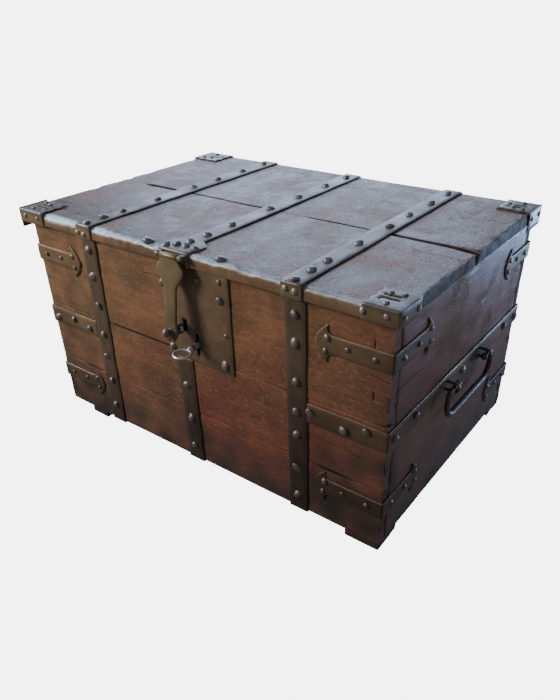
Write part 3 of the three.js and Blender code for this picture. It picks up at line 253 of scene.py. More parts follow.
def board_shell(box, axes, marks=((), ()), cracks=(), chips=(), notch=None, arris=1.4, rub=0.0, seed=0,
                cell=5.0, seams=(), furrow=0.22, end_dirt=0.5):
    """The skin of a worn board that fills a box. The axes are its directions along the grain, across it and
    inwards, and the marks are further lattice lines along and across it. A notch leaves out a stretch, from
    the first side up to a line. A point near an edge is drawn onto a rounding: the nearest point of the board
    shrunk by the arris, plus the arris along the way to it. Faces sink by slow drift and by furrows along the
    grain, and ends by a quicker drift, but the inner halves of the sides hardly sink. A chip sinks what lies
    near its middle, and a seam is a stretch where a side edge stands open and dark. Dirt on the end grain
    leaves less of its wear to be seen. The rub is the height of a wavy rounding along the first side: with u
    and v the shares of its width and height left to a point, the point moves in by the share
    ((u + v) - sqrt(2 - (u - v)^2)) / 2 of both, onto a quarter of an ellipse."""
    low, high = box
    axes = np.array(axes, float)
    size, corner = abs(axes) @ (high - low), np.where(axes.sum(0) > 0, low, high)
    length, width, depth = size
    rounding = np.array((0.4, 1.0)) * arris
    near = (2.6, 5.2, 8.0, 11.5, 16.0, 21.0) if rub else ()

    def marked(whole, more):
        """A side's marks: its ends, the roundings next to them and what else it needs."""
        return np.array(sorted({0.0, *rounding, *more, *(whole - rounding), whole}))

    along = ruled(marked(length, marks[0]), cell * 1.6)
    across = ruled(marked(width, (*marks[1], *near)), cell)
    through = ruled(marked(depth, near[:4]), 6.0)
    a, b, c = np.meshgrid(along, across, through, indexing="ij")
    keep = np.ones(np.array(a.shape) - 1, bool)
    if notch is not None:
        mid_a, mid_b = middles(along), middles(across)
        keep &= ~((mid_a > notch[0]) & (mid_a < notch[1]))[:, None, None] | (mid_b > notch[2])[None, :, None]
    sink, dirt = np.zeros_like(a), np.zeros_like(a)
    move, sink[:, :, 0], dirt[:, :, 0] = cracked(along, across, cracks, seed)
    b += move[:, :, None]
    outer = c < depth / 2
    point = np.stack((a, b, c), -1)
    line_point = point * RIGHT
    inner = np.clip(point, arris, size - arris)
    way = point - inner
    reach = np.linalg.norm(way, axis=-1, keepdims=True)
    normal = way / np.maximum(reach, 1e-9)
    surface = inner + normal * np.minimum(arris, reach)
    from_end, from_side = np.minimum(a, length - a), np.minimum(b, width - b)
    slow = 0.5 + 0.5 * drift(point, 170.0, seed)
    fine = 0.5 + 0.5 * drift(point * (0.07, 1.0, 1.0), 11.0, seed + 1)
    scars = np.clip(drift(point * (0.5, 1, 1), 26.0, seed + 2) - 0.75, 0, 1)
    sink += 0.6 * np.clip(slow, 0, 1.3) + furrow * np.clip(fine, 0, 1.3) + 0.9 * scars
    chopped = 0.4 + 0.35 * drift(point, 60.0, seed + 8) + 0.35 * drift(point, 19.0, seed + 9)
    sink += 0.9 * np.exp(-from_end / 0.8) * np.clip(chopped, 0, 1.3)
    corner_hit = np.clip(drift(point, 38.0, seed + 3) - 0.3, 0, 1) * np.clip(1 - from_end / 9.0, 0, 1)
    sink += 2.2 * corner_hit * outer
    if rub:
        waves = 0.75 + 0.3 * drift(line_point, 95.0, seed + 5) + 0.2 * drift(line_point, 24.0, seed + 6)
        waves = rub * np.clip(waves + 0.5 * np.exp(-(((a - 105) / 45) ** 2)), 0.25, 1.6)
        u, v = np.clip(1 - b / (1.7 * waves), 0, 1), np.clip(1 - c / waves, 0, 1)
        moved = np.where(u * v > 0, np.clip(u + v - np.sqrt(2 - (u - v) ** 2), 0, 2) / 2, 0)
        surface += (moved * waves)[..., None] * (0, 1.7, 1)
    for place, radius, deep in chips:
        away = np.linalg.norm((point - place) / radius, axis=-1)
        sink += deep * np.exp(-(away**2))
    for side, start, stop, wide in seams:
        opened, away = np.clip(np.minimum(a - start, stop - a) / 10.0, 0, 1), abs(b - width * side)
        dirt = np.maximum(dirt, opened * np.exp(-((away / 0.8) ** 2)))
        parted = 1.2 * wide * opened * np.exp(-((away / (1.6 * wide)) ** 2)) * outer
        surface[..., 1] += (1 - 2 * side) * parted
    tight = 1 - 0.8 * (c > depth / 2) * np.exp(-from_side / 3)
    surface -= normal * np.minimum(sink * tight, depth * 0.4)[..., None]
    wear = np.exp(-(from_end + c) / 3.5) * (1 - end_dirt) * (0.5 + 0.6 * drift(point, 45.0, seed + 4))
    if rub:
        handled = 0.45 + 0.55 * np.exp(-((a / 330) ** 2))
        wear = np.maximum(wear * (b > 20), np.clip(11 * moved, 0, 1) * handled)
    to_side = width - b if rub else from_side
    dirt = np.maximum(dirt, np.exp(-to_side) * (0.3 + 0.2 * drift(line_point, 90.0, seed + 7)))
    dirt = np.maximum(dirt, end_dirt * np.exp(-from_end) * (c > 0.5))
    return shell(surface @ axes + corner, skin(keep), wear=np.clip(wear, 0, 1), dirt=dirt)


def add(tree, kind, inputs=None, **settings):
    """A node of a kind, with its settings, and with its named inputs set to values or linked to outputs."""
    made = tree.nodes.new(kind)
    for name, value in settings.items():
        setattr(made, name, value)
    for name, value in (inputs or {}).items():
        if isinstance(value, bpy.types.NodeSocket):
            tree.links.new(value, made.inputs[name])
        else:
            made.inputs[name].default_value = value
    return made


def maths(tree, operation, *values):
    """What an operation makes of numbers or outputs."""
    return add(tree, "ShaderNodeMath", dict(enumerate(values)), operation=operation).outputs[0]


def scaled(tree, value, low, high, to_low=0.0, to_high=1.0):
    """A value led from one span to another, and kept within it."""
    spans = {"Value": value, "From Min": low, "From Max": high, "To Min": to_low, "To Max": to_high}
    return add(tree, "ShaderNodeMapRange", spans).outputs[0]


def blend(tree, share, first, second, kind="MIX"):
    """Two colours mixed by a share, or the first multiplied by a share of the second."""
    first, second = (c if isinstance(c, bpy.types.NodeSocket) else (*c, 1.0) for c in (first, second))
    colours = {0: share, 6: first, 7: second}
    return add(tree, "ShaderNodeMix", colours, data_type="RGBA", blend_type=kind).outputs[2]


def noise(tree, vector, scale, detail, rough=0.5, twist=0.0):
    """A noise with so many waves to a metre, more or less detailed, rough and twisted."""
    looks = {"Vector": vector, "Scale": scale, "Detail": detail, "Roughness": rough, "Distortion": twist}
    return add(tree, "ShaderNodeTexNoise", looks).outputs["Fac"]


def group_of(name, inputs, outputs):
    """An empty node group with vector inputs and float outputs: the tree, its start node and its end node."""
    group = bpy.data.node_groups.new(name, "ShaderNodeTree")
    for label in inputs:
        group.interface.new_socket(label, in_out="INPUT", socket_type="NodeSocketVector")
    for label in outputs:
        group.interface.new_socket(label, in_out="OUTPUT", socket_type="NodeSocketFloat")
    return group, group.nodes.new("NodeGroupInput"), group.nodes.new("NodeGroupOutput")


def oak_figure_group():
    """Oak figure with the grain along X: soft long streaks with wavering growth lines, short dark pores,
    pale flecks, blotches, slow stains, grit that takes no notice of the grain, and a height."""
    labels = ("Streaks", "Pores", "Flecks", "Mottle", "Stain", "Grit", "Height")
    group, start, end = group_of("oak_figure", ("Vector", "Offset"), labels)
    shifted = {0: start.outputs["Vector"], 1: start.outputs["Offset"]}
    place = add(group, "ShaderNodeVectorMath", shifted, operation="ADD").outputs[0]

    def grained(stretch, *looks):
        """A noise that is drawn out along the grain."""
        vector = add(group, "ShaderNodeVectorMath", {0: place, 1: (stretch, 1.0, 1.0)}, operation="MULTIPLY")
        return noise(group, vector.outputs[0], *looks)

    split = add(group, "ShaderNodeSeparateXYZ", {0: place}).outputs
    turns = maths(group, "MULTIPLY", maths(group, "ADD", split["Y"], split["Z"]), 560.0)
    rings = maths(group, "SINE", maths(group, "MULTIPLY_ADD", grained(0.16, 9.0, 3.0), 52.0, turns))
    streaks = maths(group, "MULTIPLY_ADD", rings, 0.05, grained(0.14, 62.0, 7.0, 0.66, 0.9))
    pores = scaled(group, grained(0.09, 520.0, 3.0), 0.56, 0.72)
    flecks = scaled(group, grained(0.6, 200.0, 5.0, 0.74), 0.52, 0.70)
    mottle, stain = grained(0.8, 34.0, 6.0, 0.7), grained(0.85, 8.5, 6.0, 0.66)
    grit = grained(0.8, 230.0, 5.0, 0.72)
    height = maths(group, "MULTIPLY_ADD", flecks, 0.25, maths(group, "MULTIPLY_ADD", pores, -0.5, streaks))
    for label, value in zip(labels, (streaks, pores, flecks, mottle, stain, grit, height)):
        group.links.new(value, end.inputs[label])
    return group


def material_with(name, group, keys):
    """A new material, its tree, its shader's inputs, a node of a group in it, and its masks by their keys."""
    material = bpy.data.materials.new(name)
    material.use_nodes = True
    tree = material.node_tree
    masks = [add(tree, "ShaderNodeAttribute", attribute_name=key).outputs["Fac"] for key in keys]
    node = add(tree, "ShaderNodeGroup", node_tree=group)
    return material, tree, tree.nodes["Principled BSDF"].inputs, node, masks


oak_figure = oak_figure_group()


def oak(name, colour, grain="x", offset=(0.0, 0.0, 0.0), spread=0.16, red_and_shade=(0.86, 0.45, 0.60),
        patch=(1.26, 1.0, 0.92), edge=(0.30, 0.18, 0.10), fleck=(0.24, 0.15, 0.09), fleck_share=0.3,
        pore_share=0.22, rough=0.5, gloss=0.14, grit=0.4, relief=0.5, squeeze=1.0, painted_top_tint=None):
    """Old oak of a colour. Its figure runs from darker to lighter by the spread; towards the lower right it
    turns redder, its own colour, and darker as painted shade; and stains lead it to the patch colour. Flecks
    are pale, rubbed edges take the edge colour, paler wood but a painted bluish white highlight on the lid,
    and pores, cracks and darkened places are nearly black. Gloss is how far it is smoother in some places and
    duller in others, and grit the share of its relief that takes no notice of the grain. The squeeze shortens
    the whole figure along X. The top tint, where it is given, multiplies the colour on the lid's top darker
    and bluer as painted shade and a cool sheen; the top alone has the stains and full flecks, grit and
    relief."""
    material, tree, shader, figure, masks = material_with(name, oak_figure, ("wear", "dirt", "tone_and_shade", "top"))
    worn, dirt, tone_and_shade, top = masks
    turned = (0.0, 0.0, np.pi / 2 if grain == "y" else 0.0)
    place = add(tree, "ShaderNodeTexCoord").outputs["Object"]
    laid = {"Vector": place, "Rotation": turned, "Scale": (squeeze, 1.0, 1.0)}
    tree.links.new(add(tree, "ShaderNodeMapping", laid).outputs[0], figure.inputs["Vector"])
    figure.inputs["Offset"].default_value = offset
    streaks, pores, flecks, mottle, stain, coarse, height = figure.outputs
    if painted_top_tint:
        grit, fleck_share = (scaled(tree, top, 0.0, 1.0, 0.2 * share, share) for share in (grit, fleck_share))
    base = np.array(colour)
    base = blend(tree, scaled(tree, streaks, 0.28, 0.74), base * (1 - spread), base * (1 + spread))
    # Towards the lower right the wood turns redder, its own colour, and darker as painted shade.
    base = blend(tree, tone_and_shade, base, red_and_shade, "MULTIPLY")
    stained = scaled(tree, stain, 0.42, 0.62)
    # Painted shade and cool sheen: the lid's top is multiplied darker and bluer.
    if painted_top_tint:
        base = blend(tree, top, base, painted_top_tint, "MULTIPLY")
        stained = maths(tree, "MULTIPLY", stained, top)
    base = blend(tree, stained, base, patch, "MULTIPLY")
    blotches = scaled(tree, mottle, 0.28, 0.72, 0.68, 1.28)
    shade = maths(tree, "MULTIPLY", scaled(tree, stain, 0.3, 0.7, 0.78, 1.16), blotches)
    shade = add(tree, "ShaderNodeCombineColor", {0: shade, 1: shade, 2: shade}).outputs[0]
    base = blend(tree, 1.0, base, shade, "MULTIPLY")
    base = blend(tree, maths(tree, "MULTIPLY", flecks, fleck_share), base, fleck)
    rubbed = maths(tree, "MULTIPLY", worn, scaled(tree, stain, 0.3, 0.7, 0.4, 1.0))
    # Rubbed edges take the edge colour: paler wood, and on the lid a painted bluish white highlight.
    base = blend(tree, rubbed, base, edge)
    black = maths(tree, "MAXIMUM", dirt, maths(tree, "MULTIPLY", pores, pore_share))
    black = maths(tree, "MAXIMUM", black, scaled(tree, coarse, 0.44, 0.36, 0.0, grit))
    tree.links.new(blend(tree, black, base, (0.014, 0.010, 0.010)), shader["Base Color"])
    uneven = maths(tree, "MULTIPLY_ADD", stain, 1.6, maths(tree, "ADD", coarse, mottle))
    dull = scaled(tree, uneven, 1.45, 2.15, rough - gloss, rough + gloss)
    dull = maths(tree, "MULTIPLY_ADD", black, 0.45, maths(tree, "MULTIPLY_ADD", rubbed, -0.2, dull))
    tree.links.new(dull, shader["Roughness"])
    calm = maths(tree, "MULTIPLY", rubbed, 0.8)
    if painted_top_tint:
        calm = maths(tree, "MAXIMUM", calm, scaled(tree, top, 0.0, 1.0, 0.6, 0.0))
    height = add(tree, "ShaderNodeMix", {0: grit, 2: height, 3: coarse}).outputs[0]
    height = add(tree, "ShaderNodeMix", {0: calm, 2: height, 3: 0.5}).outputs[0]
    bump = add(tree, "ShaderNodeBump", {"Height": height, "Strength": relief, "Distance": 0.0012})
    tree.links.new(bump.outputs[0], shader["Normal"])
    return material


front_oak = oak("oak_front", (0.159, 0.092, 0.042), offset=(0.37, 0.11, 0.53), fleck=(0.29, 0.20, 0.14),
                fleck_share=0.5, grit=0.5, relief=0.6)
# Each crack has its line along and across the board, its half width and its depth, and each seam the
# board's side, its start and end along the board, and its width. Each chip has its place, radii and depth.
front_cracks = {
    "front_lower_board": [(((250, 58), (300, 56), (345, 57)), 0.5, 3.0),
                          (((600, 70), (660, 72), (700, 71)), 0.9, 4.0)],
    "front_middle_board": [(((60, 66), (120, 62), (150, 62)), 0.5, 2.5),
                           (((560, 50), (640, 46), (676, 44)), 0.6, 3.0)],
    "front_upper_board": [(((262, 116), (330, 114), (372, 113)), 0.5, 3.0),
                          (((652, 70), (676, 69), (700, 68)), 0.7, 4.0)],
}
front_seams = {
    "front_lower_board": ((1, 60, 120, 1.0), (1, 582, 655, 1.8)),
    "front_middle_board": ((1, 160, 312, 0.9), (0, 582, 640, 1.2)),
    "front_upper_board": ((0, 160, 312, 0.9),),
}
front_chips = {"front_upper_board": (((673, 115, 0), (0.9, 6, 6), 3.0), ((675, 39, 0), (0.9, 6, 6), 3.0))}
case_low, case_high = cad("lock_case")
gap = 0.3
for number, name in enumerate(front_cracks):
    low, _ = cad(name)
    notch, marks = None, ((), ())
    if name == "front_upper_board":
        notch = (case_low[0] - gap - low[0], case_high[0] + gap - low[0], case_high[2] + gap - low[2])
        marks = ((*notch[:2], *np.arange(671.0, 678.0, 0.8)), notch[2:])
    board = board_shell(cad(name), (RIGHT, UP, BACK), marks, front_cracks[name], front_chips.get(name, ()),
                        notch, arris=0.9, seed=10 + number * 10, cell=4.0, seams=front_seams[name])
    make(name, "worn", [board], "carcass", front_oak)

# The end boards
# Two oak boards stand one over the other at each end, between the front and the back.
# They are darker than the front and hold the staples of the handles.
for side, sign, colour in (("left", -1, (0.120, 0.068, 0.036)), ("right", 1, (0.122, 0.042, 0.024))):
    look = oak(f"oak_{side}_end", colour, grain="y", offset=(0.2 * sign, 0.7, 0.3), red_and_shade=(0.80, 0.72, 0.78),
               spread=0.12, pore_share=0.08, rough=0.32, relief=0.3)
    for number, name in enumerate((f"{side}_lower_board", f"{side}_upper_board")):
        level = 60 + 22 * number
        cracks = [(((0, level), (40, level + 2), (70, level)), 0.4, 2.0)]
        board = board_shell(cad(name), (BACK, UP, (-sign, 0, 0)), cracks=cracks,
                            seed=50 + 20 * number + sign, furrow=0.07)
        make(name, "worn", [board], "carcass", look)

# The back boards
# Two wide oak boards close the back. Nobody rubbed or waxed them, so they stayed rougher and greyer.
# Each is split from one end.
FRONT = (0, -1, 0)
back_cracks = {
    "back_lower_board": [(((0, 70), (90, 74), (200, 72)), 0.6, 3.0)],
    "back_upper_board": [(((420, 90), (560, 84), (700, 86)), 0.7, 4.0)],
}
for number, (name, cracks) in enumerate(back_cracks.items()):
    look = oak(f"oak_back_{number}", (0.115, 0.072, 0.042), offset=(0.9, 0.2 * number, 0.1), rough=0.6)
    board = board_shell(cad(name), (RIGHT, UP, FRONT), cracks=cracks, seed=90 + number * 10, cell=6.0)
    make(name, "worn", [board], "carcass", look)

# The bottom boards and the feet
# Two boards lie between the walls as the floor of the chest, clean and pale inside.
# Four blocks lift it off the ground. The front left one is a worn stump that stands in from the corner.
DOWN = (0, 0, -1)
inside_oak = oak("oak_inside", (0.20, 0.130, 0.075), offset=(0.4, 0.4, 0.4), red_and_shade=(0.95, 0.85, 0.85),
                 rough=0.65)
for number, name in enumerate(("bottom_front_board", "bottom_back_board")):
    board = board_shell(cad(name), (RIGHT, BACK, DOWN), seed=120 + number * 10, cell=7.0)
    make(name, "worn", [board], "carcass", inside_oak)
foot_oak = oak("oak_feet", (0.060, 0.034, 0.020), offset=(0.1, 0.9, 0.6), rough=0.6)
for number, name in enumerate(("foot_front_left", "foot_front_right", "foot_back_left", "foot_back_right")):
    foot = board_shell(cad(name), (RIGHT, BACK, UP), arris=2.5, seed=140 + number * 10)
    make(name, "worn", [foot], "carcass", foot_oak)

# The body straps
# Three forged straps run down the front, under the floor and up the back, where each is rolled round its
# hinge pin in two knuckles. Hand-made nails with domed heads hold them. They lean a little to one side.
FLAT, IRON, HALF_STRAP = 239.3, 2.5, 17.0  # where irons lie in front and behind, how thick and how wide
NAIL, SMALL_NAIL = (7.0, 5.0), (4.5, 3.0)  # the radius and the height of a head


def sampled(distance, spans, columns):
    """What the columns come to at distances along a path, read between its places."""
    return np.stack([np.interp(distance, spans, column) for column in columns.T], -1)


def loft(rings, loop=False, wear=0.0, nail=0.0):
    """A closed shell through rings of points, an array of ring by point by place. It goes round from the
    last ring to the first, or else ends in two flat fans."""
    count, sides = rings.shape[:2]
    number = np.arange(count * sides).reshape(count, sides)
    low, high = (number, np.roll(number, -1, 0)) if loop else (number[:-1], number[1:])
    quads = np.stack((low, np.roll(low, -1, 1), np.roll(high, -1, 1), high), -1).reshape(-1, 4)
    points = rings.reshape(-1, 3)
    if not loop:
        points = np.concatenate((points, rings[:1].mean(1), rings[-1:].mean(1)))
        tip = np.full(sides, count * sides)
        first = np.stack((np.roll(number[0], -1), number[0], tip, tip), -1)
        last = np.stack((number[-1], np.roll(number[-1], -1), tip + 1, tip + 1), -1)
        quads = np.concatenate((quads, first, last))
    return shell(points, quads, wear=np.full(len(points), wear), nail=np.full(len(points), nail))


def bent(corners, radius, outward=1, steps=7):
    """A flat path of straight runs with round corners: its distances, places and outward directions.
    A corner of turn a is an arc of its radius that begins radius times tan(a/2) before it."""
    corners = np.array(corners, float)
    radii = np.broadcast_to(radius, len(corners) - 2)
    ways = np.diff(corners, axis=0)
    ways /= np.linalg.norm(ways, axis=1, keepdims=True)
    places, headings = [corners[:1]], [ways[:1]]
    for corner, before, after, radius in zip(corners[1:-1], ways[:-1], ways[1:], radii):
        turn = np.arctan2(before[0] * after[1] - before[1] * after[0], before @ after)
        side = np.array((-before[1], before[0])) * np.sign(turn)
        angle = np.linspace(0, abs(turn), steps)[:, None]
        start = corner - before * radius * np.tan(abs(turn) / 2)
        places.append(start + radius * (np.sin(angle) * before + (1 - np.cos(angle)) * side))
        headings.append(np.cos(angle) * before + np.sin(angle) * side)
    places, headings = np.vstack((*places, corners[-1:])), np.vstack((*headings, ways[-1:]))
    distance = np.r_[0, np.cumsum(np.linalg.norm(np.diff(places, axis=0), axis=1))]
    return distance, places, outward * headings[:, ::-1] * (1, -1)


def follow(path, distance, aside, axes):
    """Places and outward directions at distances along a flat path and at offsets to its side. The axes
    are the directions of the path's two coordinates and of the offset."""
    axes = np.array(axes, float)
    places, normals = (sampled(distance, path[0], columns) @ axes[:2] for columns in path[1:])
    return places + aside[..., None] * axes[2], normals


def sheet(points, normals, thick, keep=None, seed=0, dent=0.3, bevel=0.8):
    """A forged plate on a grid of inner places and outward directions. The outer face stands off by the
    thickness less a shallow drift of hammer marks, and less the bevel where it meets an edge or a hole."""
    keep = np.ones(np.array(points.shape[:2]) - 1, bool) if keep is None else keep
    around = np.pad(keep, 1)
    rim = ~(around[1:, 1:] & around[1:, :-1] & around[:-1, 1:] & around[:-1, :-1])
    outer_edge = np.pad(np.zeros(np.array(rim.shape) - 2, bool), 1, constant_values=True)
    marks = dent * np.clip(0.5 + 0.5 * drift(points, 22.0, seed), 0, 1.2)
    marks += dent * np.clip(drift(points, 75.0, seed + 1), 0, 1)
    outer = points + normals * (thick - marks - bevel * rim)[..., None]
    # Outer edges are lighter: worn, and partly a painted highlight along the bevel.
    bright = np.clip(outer_edge * (0.55 + 0.45 * drift(points, 60.0, seed + 2)), 0, 1)
    dark = 0.9 * (rim & ~outer_edge)
    return shell(np.stack((points, outer), 2), skin(keep[:, :, None]), wear=np.stack((0 * bright, bright), 2),
                 dirt=np.stack((dark, dark), 2))


def lines(half, bevel=1.2, count=5):
    """Lattice lines across a strip from -1 to 1, with one a bevel's width in from each edge."""
    inner = 1 - bevel / half
    return np.r_[-1, np.linspace(-inner, inner, count), 1]


def strip(path, axes, half, centre, thick=IRON, seed=0, waver=0.4, more=(), count=5):
    """A forged strip along a bent path. Its half width and its centre line are numbers, or rules that take
    the places along the path, and its edges waver a little."""
    bevel, end = 1.2, path[0][-1]
    marks = np.unique(np.round(np.r_[0, bevel, path[0][1:-1], more, end - bevel, end], 4))
    narrowest = half(path[1]).min() if callable(half) else half
    rows, across = np.meshgrid(ruled(marks, 7.0), lines(narrowest, bevel, count), indexing="ij")
    place = sampled(rows, path[0], path[1])
    half, centre = (rule(place) if callable(rule) else rule for rule in (half, centre))
    edge = waver * drift(np.stack((rows, 55 * np.sign(across), 0 * rows), -1), 55.0, seed + 9)
    points, normals = follow(path, rows, centre + across * (half - waver + edge), axes)
    return sheet(points, normals, thick, seed=seed)


def nail_heads(places, facing, size=NAIL, seed=0):
    """Domed heads of hand-made nails, of a radius and a height: rings round each place that shrink and rise
    along the facing direction, with a slightly uneven outline, size and lean."""
    rng = np.random.default_rng(seed)
    facing = np.array(facing, float)
    aside = np.cross(facing, (0.31, 0.52, 0.79))
    aside /= np.linalg.norm(aside)
    upward = np.cross(facing, aside)
    angle = np.linspace(0, 2 * np.pi, 12, endpoint=False)
    dome = ((0.9, -0.35), (1.0, -0.3), (1.0, 0.06), (0.93, 0.38), (0.72, 0.74), (0.4, 0.95), (0.14, 1.0))
    shares, rises = np.array(dome).T[..., None]
    radius, height = size
    rise = height * rises
    shells = []
    for place in np.array(places, float):
        grown, lean = rng.uniform(0.88, 1.08), rng.normal(0, 0.07, 2)
        rim = 1 + 0.05 * np.cos(2 * angle + rng.uniform(0, 6)) + 0.03 * np.cos(5 * angle + rng.uniform(0, 6))
        spread = radius * grown * shares * rim
        across = spread * np.cos(angle) + lean[0] * rise * radius
        over = spread * np.sin(angle) + lean[1] * rise * radius
        rings = place + across[..., None] * aside + over[..., None] * upward + rise[..., None] * facing
        shells.append(loft(rings, nail=1.0))
    return shells


def wall_nails(spots, sign_y, size=NAIL, seed=0):
    """Nail heads on the irons of the front or the back, at spots given by their x and their height."""
    return nail_heads([(x, sign_y * (FLAT + IRON), z) for x, z in spots], (0, sign_y, 0), size, seed)


def knuckle(centre, width, radii, start, sweep, seed):
    """A strip's end rolled round a pin from the inner to the outer radius: a plate bent along an arc that
    falls short of a full turn."""
    angle = np.radians(start + np.linspace(0, sweep, 33))
    angle, across = np.meshgrid(angle, lines(width / 2, 0.8, 3), indexing="ij")
    normals = np.stack((0 * angle, np.cos(angle), np.sin(angle)), -1)
    points = np.array(centre) + normals * radii[0] + across[..., None] * (width / 2, 0, 0)
    return sheet(points, normals, radii[1] - radii[0], seed=seed, dent=0.15)


def rolled_end(run, x, width, thick, pin, radii, start, sweep, seeds):
    """A narrow strip that runs up to a pin, and its knuckle round the pin."""
    narrow = strip(run, ALONG_YZ, width / 2, x, thick=thick, seed=seeds[0], waver=0.0, count=3)
    return [narrow, knuckle((x, *pin), width, radii, start, sweep, seeds[1])]


def iron_skin_group():
    """Forged iron: broad patches, rust that gathers in spots, small pits, and a height with hammer marks."""
    labels = ("Patches", "Rust", "Pits", "Height")
    group, start, end = group_of("iron_skin", ("Vector",), labels)
    place = start.outputs["Vector"]
    patches = noise(group, place, 16.0, 6.0, 0.6)
    rust = scaled(group, noise(group, place, 48.0, 7.0, 0.68), 0.5, 0.68)
    pits = scaled(group, noise(group, place, 420.0, 3.0, 0.6), 0.58, 0.72)
    height = maths(group, "MULTIPLY_ADD", pits, -0.4, noise(group, place, 110.0, 3.0))
    for label, value in zip(labels, (patches, rust, pits, height)):
        group.links.new(value, end.inputs[label])
    return group


iron_skin = iron_skin_group()


def iron(name, colour, rust=(0.110, 0.060, 0.030), edge=(0.32, 0.28, 0.27), metal=0.4, rough=0.5, relief=0.35,
         nail=(0.190, 0.150, 0.138), painted_top_tint=(1.0, 1.0, 1.0)):
    """Old iron of a colour, darker in patches, browner and duller where it rusts, and brighter along worn
    edges, partly as a painted highlight. It darkens towards the lower right as painted shade, and towards the
    floor and round the rims of holes. Nail heads are a smoother, greyer iron, and the top tint multiplies the
    colour on the lid's top, darker and bluer as painted shade and a cool sheen."""
    keys = ("wear", "dirt", "tone_and_shade", "nail", "top")
    material, tree, shader, skin_node, masks = material_with(name, iron_skin, keys)
    worn, dirt, tone_and_shade, head, top = masks
    tree.links.new(add(tree, "ShaderNodeTexCoord").outputs["Object"], skin_node.inputs["Vector"])
    patches, rusty, pits, height = skin_node.outputs
    base = np.array(colour)
    base = blend(tree, scaled(tree, patches, 0.32, 0.68), base * 0.62, base * 1.25)
    base = blend(tree, maths(tree, "MULTIPLY", rusty, 0.7), base, rust)
    # Painted shade: the iron darkens towards the lower right, where less light falls.
    base = blend(tree, tone_and_shade, base, (0.38, 0.29, 0.33), "MULTIPLY")
    base = blend(tree, head, base, nail)
    base = blend(tree, maths(tree, "MULTIPLY", worn, 0.45), base, edge)
    # Painted shade and cool sheen: the lid iron's top is multiplied darker and bluer.
    base = blend(tree, top, base, painted_top_tint, "MULTIPLY")
    black = maths(tree, "MAXIMUM", maths(tree, "MULTIPLY", dirt, 0.6), maths(tree, "MULTIPLY", pits, 0.4))
    tree.links.new(blend(tree, black, base, (0.018, 0.013, 0.010)), shader["Base Color"])
    shine = scaled(tree, rusty, 0.0, 1.0, metal, metal * 0.35)
    tree.links.new(maths(tree, "MULTIPLY_ADD", head, 0.15, shine), shader["Metallic"])
    dull = scaled(tree, patches, 0.3, 0.7, rough + 0.1, rough - 0.1)
    tree.links.new(maths(tree, "MULTIPLY_ADD", head, -0.10, dull), shader["Roughness"])
    bump = add(tree, "ShaderNodeBump", {"Height": height, "Strength": relief, "Distance": 0.0008})
    tree.links.new(bump.outputs[0], shader["Normal"])
    return material


def dress(node, material):
    """Gives a CAD node that stays a better material."""
    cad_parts[node].data.materials.clear()
    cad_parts[node].data.materials.append(material)


strap_iron = iron("iron_straps", (0.118, 0.088, 0.058))
ALONG_YZ = (BACK, UP, RIGHT)
HINGE_PIN, HINGE_RADII = (249.0, 378.0), (3.4, 7.0)  # in Y and Z, and a knuckle's inner and outer radius
under_floor, rim = 12.7, 372.7
# Each strap has its middle, its lean, its upper end in front and the heights of its nails there.
body_straps = {
    "left": (-208.95, 4.0, rim, (352.8, 305.9, 250.6, 197.4, 152.6, 102.2, 49.0)),
    "centre": (-11.9, -2.0, 213.4, (163.8, 99.4, 41.3)),
    "right": (206.15, -1.5, rim, (349.3, 307.3, 246.4, 196.0, 156.8, 93.8, 42.0)),
}
back_levels = (49.0, 106.5, 164.0, 221.6, 279.0, 329.5)
hinge_x = {}


def leaning(x, lean, z):
    """Where the middle of a leaning strap lies at a height: at x at half height, and at x plus the lean
    182 mm above it."""
    return x + lean * (np.array(z) - HALF_HEIGHT) / 182


for number, (name, (x, lean, top, nail_levels)) in enumerate(body_straps.items()):
    pin = f"hinge_pin_{name}"
    pin_low, pin_high = cad(pin)
    hinge_x[name] = (pin_low[0] + pin_high[0]) / 2
    path = bent([(-FLAT, top), (-FLAT, under_floor), (FLAT, under_floor), (FLAT, rim)], 1.0)
    shells = [strip(path, ALONG_YZ, HALF_STRAP, lambda place: leaning(x, lean, place[..., 1]),
                    seed=200 + number * 7)]
    shells += wall_nails([(leaning(x, lean, z), z) for z in nail_levels], -1, seed=number)
    shells += wall_nails([(leaning(x, lean, z), z) for z in back_levels], 1, seed=10 + number)
    neck = bent([(FLAT + 0.2, 354.0), (FLAT + 0.2, 362.0), (FLAT + 2.7, HINGE_PIN[1])], 9.0)
    for place in (hinge_x[name] - 11.9, hinge_x[name] + 11.9):
        shells += rolled_end(neck, place, 10.0, 3.6, HINGE_PIN, HINGE_RADII, 190.0, -345.0, (3, 5))
    make(f"body_strap_{name}", "forged", shells, "carcass", strap_iron)
    dress(pin, strap_iron)

# The middle bands
# A band wraps each end at half height, from the outer strap in front to the one at the back.
# Three nails hold each leg and five the end, where the staples of the handle go through it.
body_iron = iron("iron_body", (0.198, 0.138, 0.072))
ALONG_XY, END, BAND_LEVEL = (RIGHT, BACK, UP), 350.3, 200.92
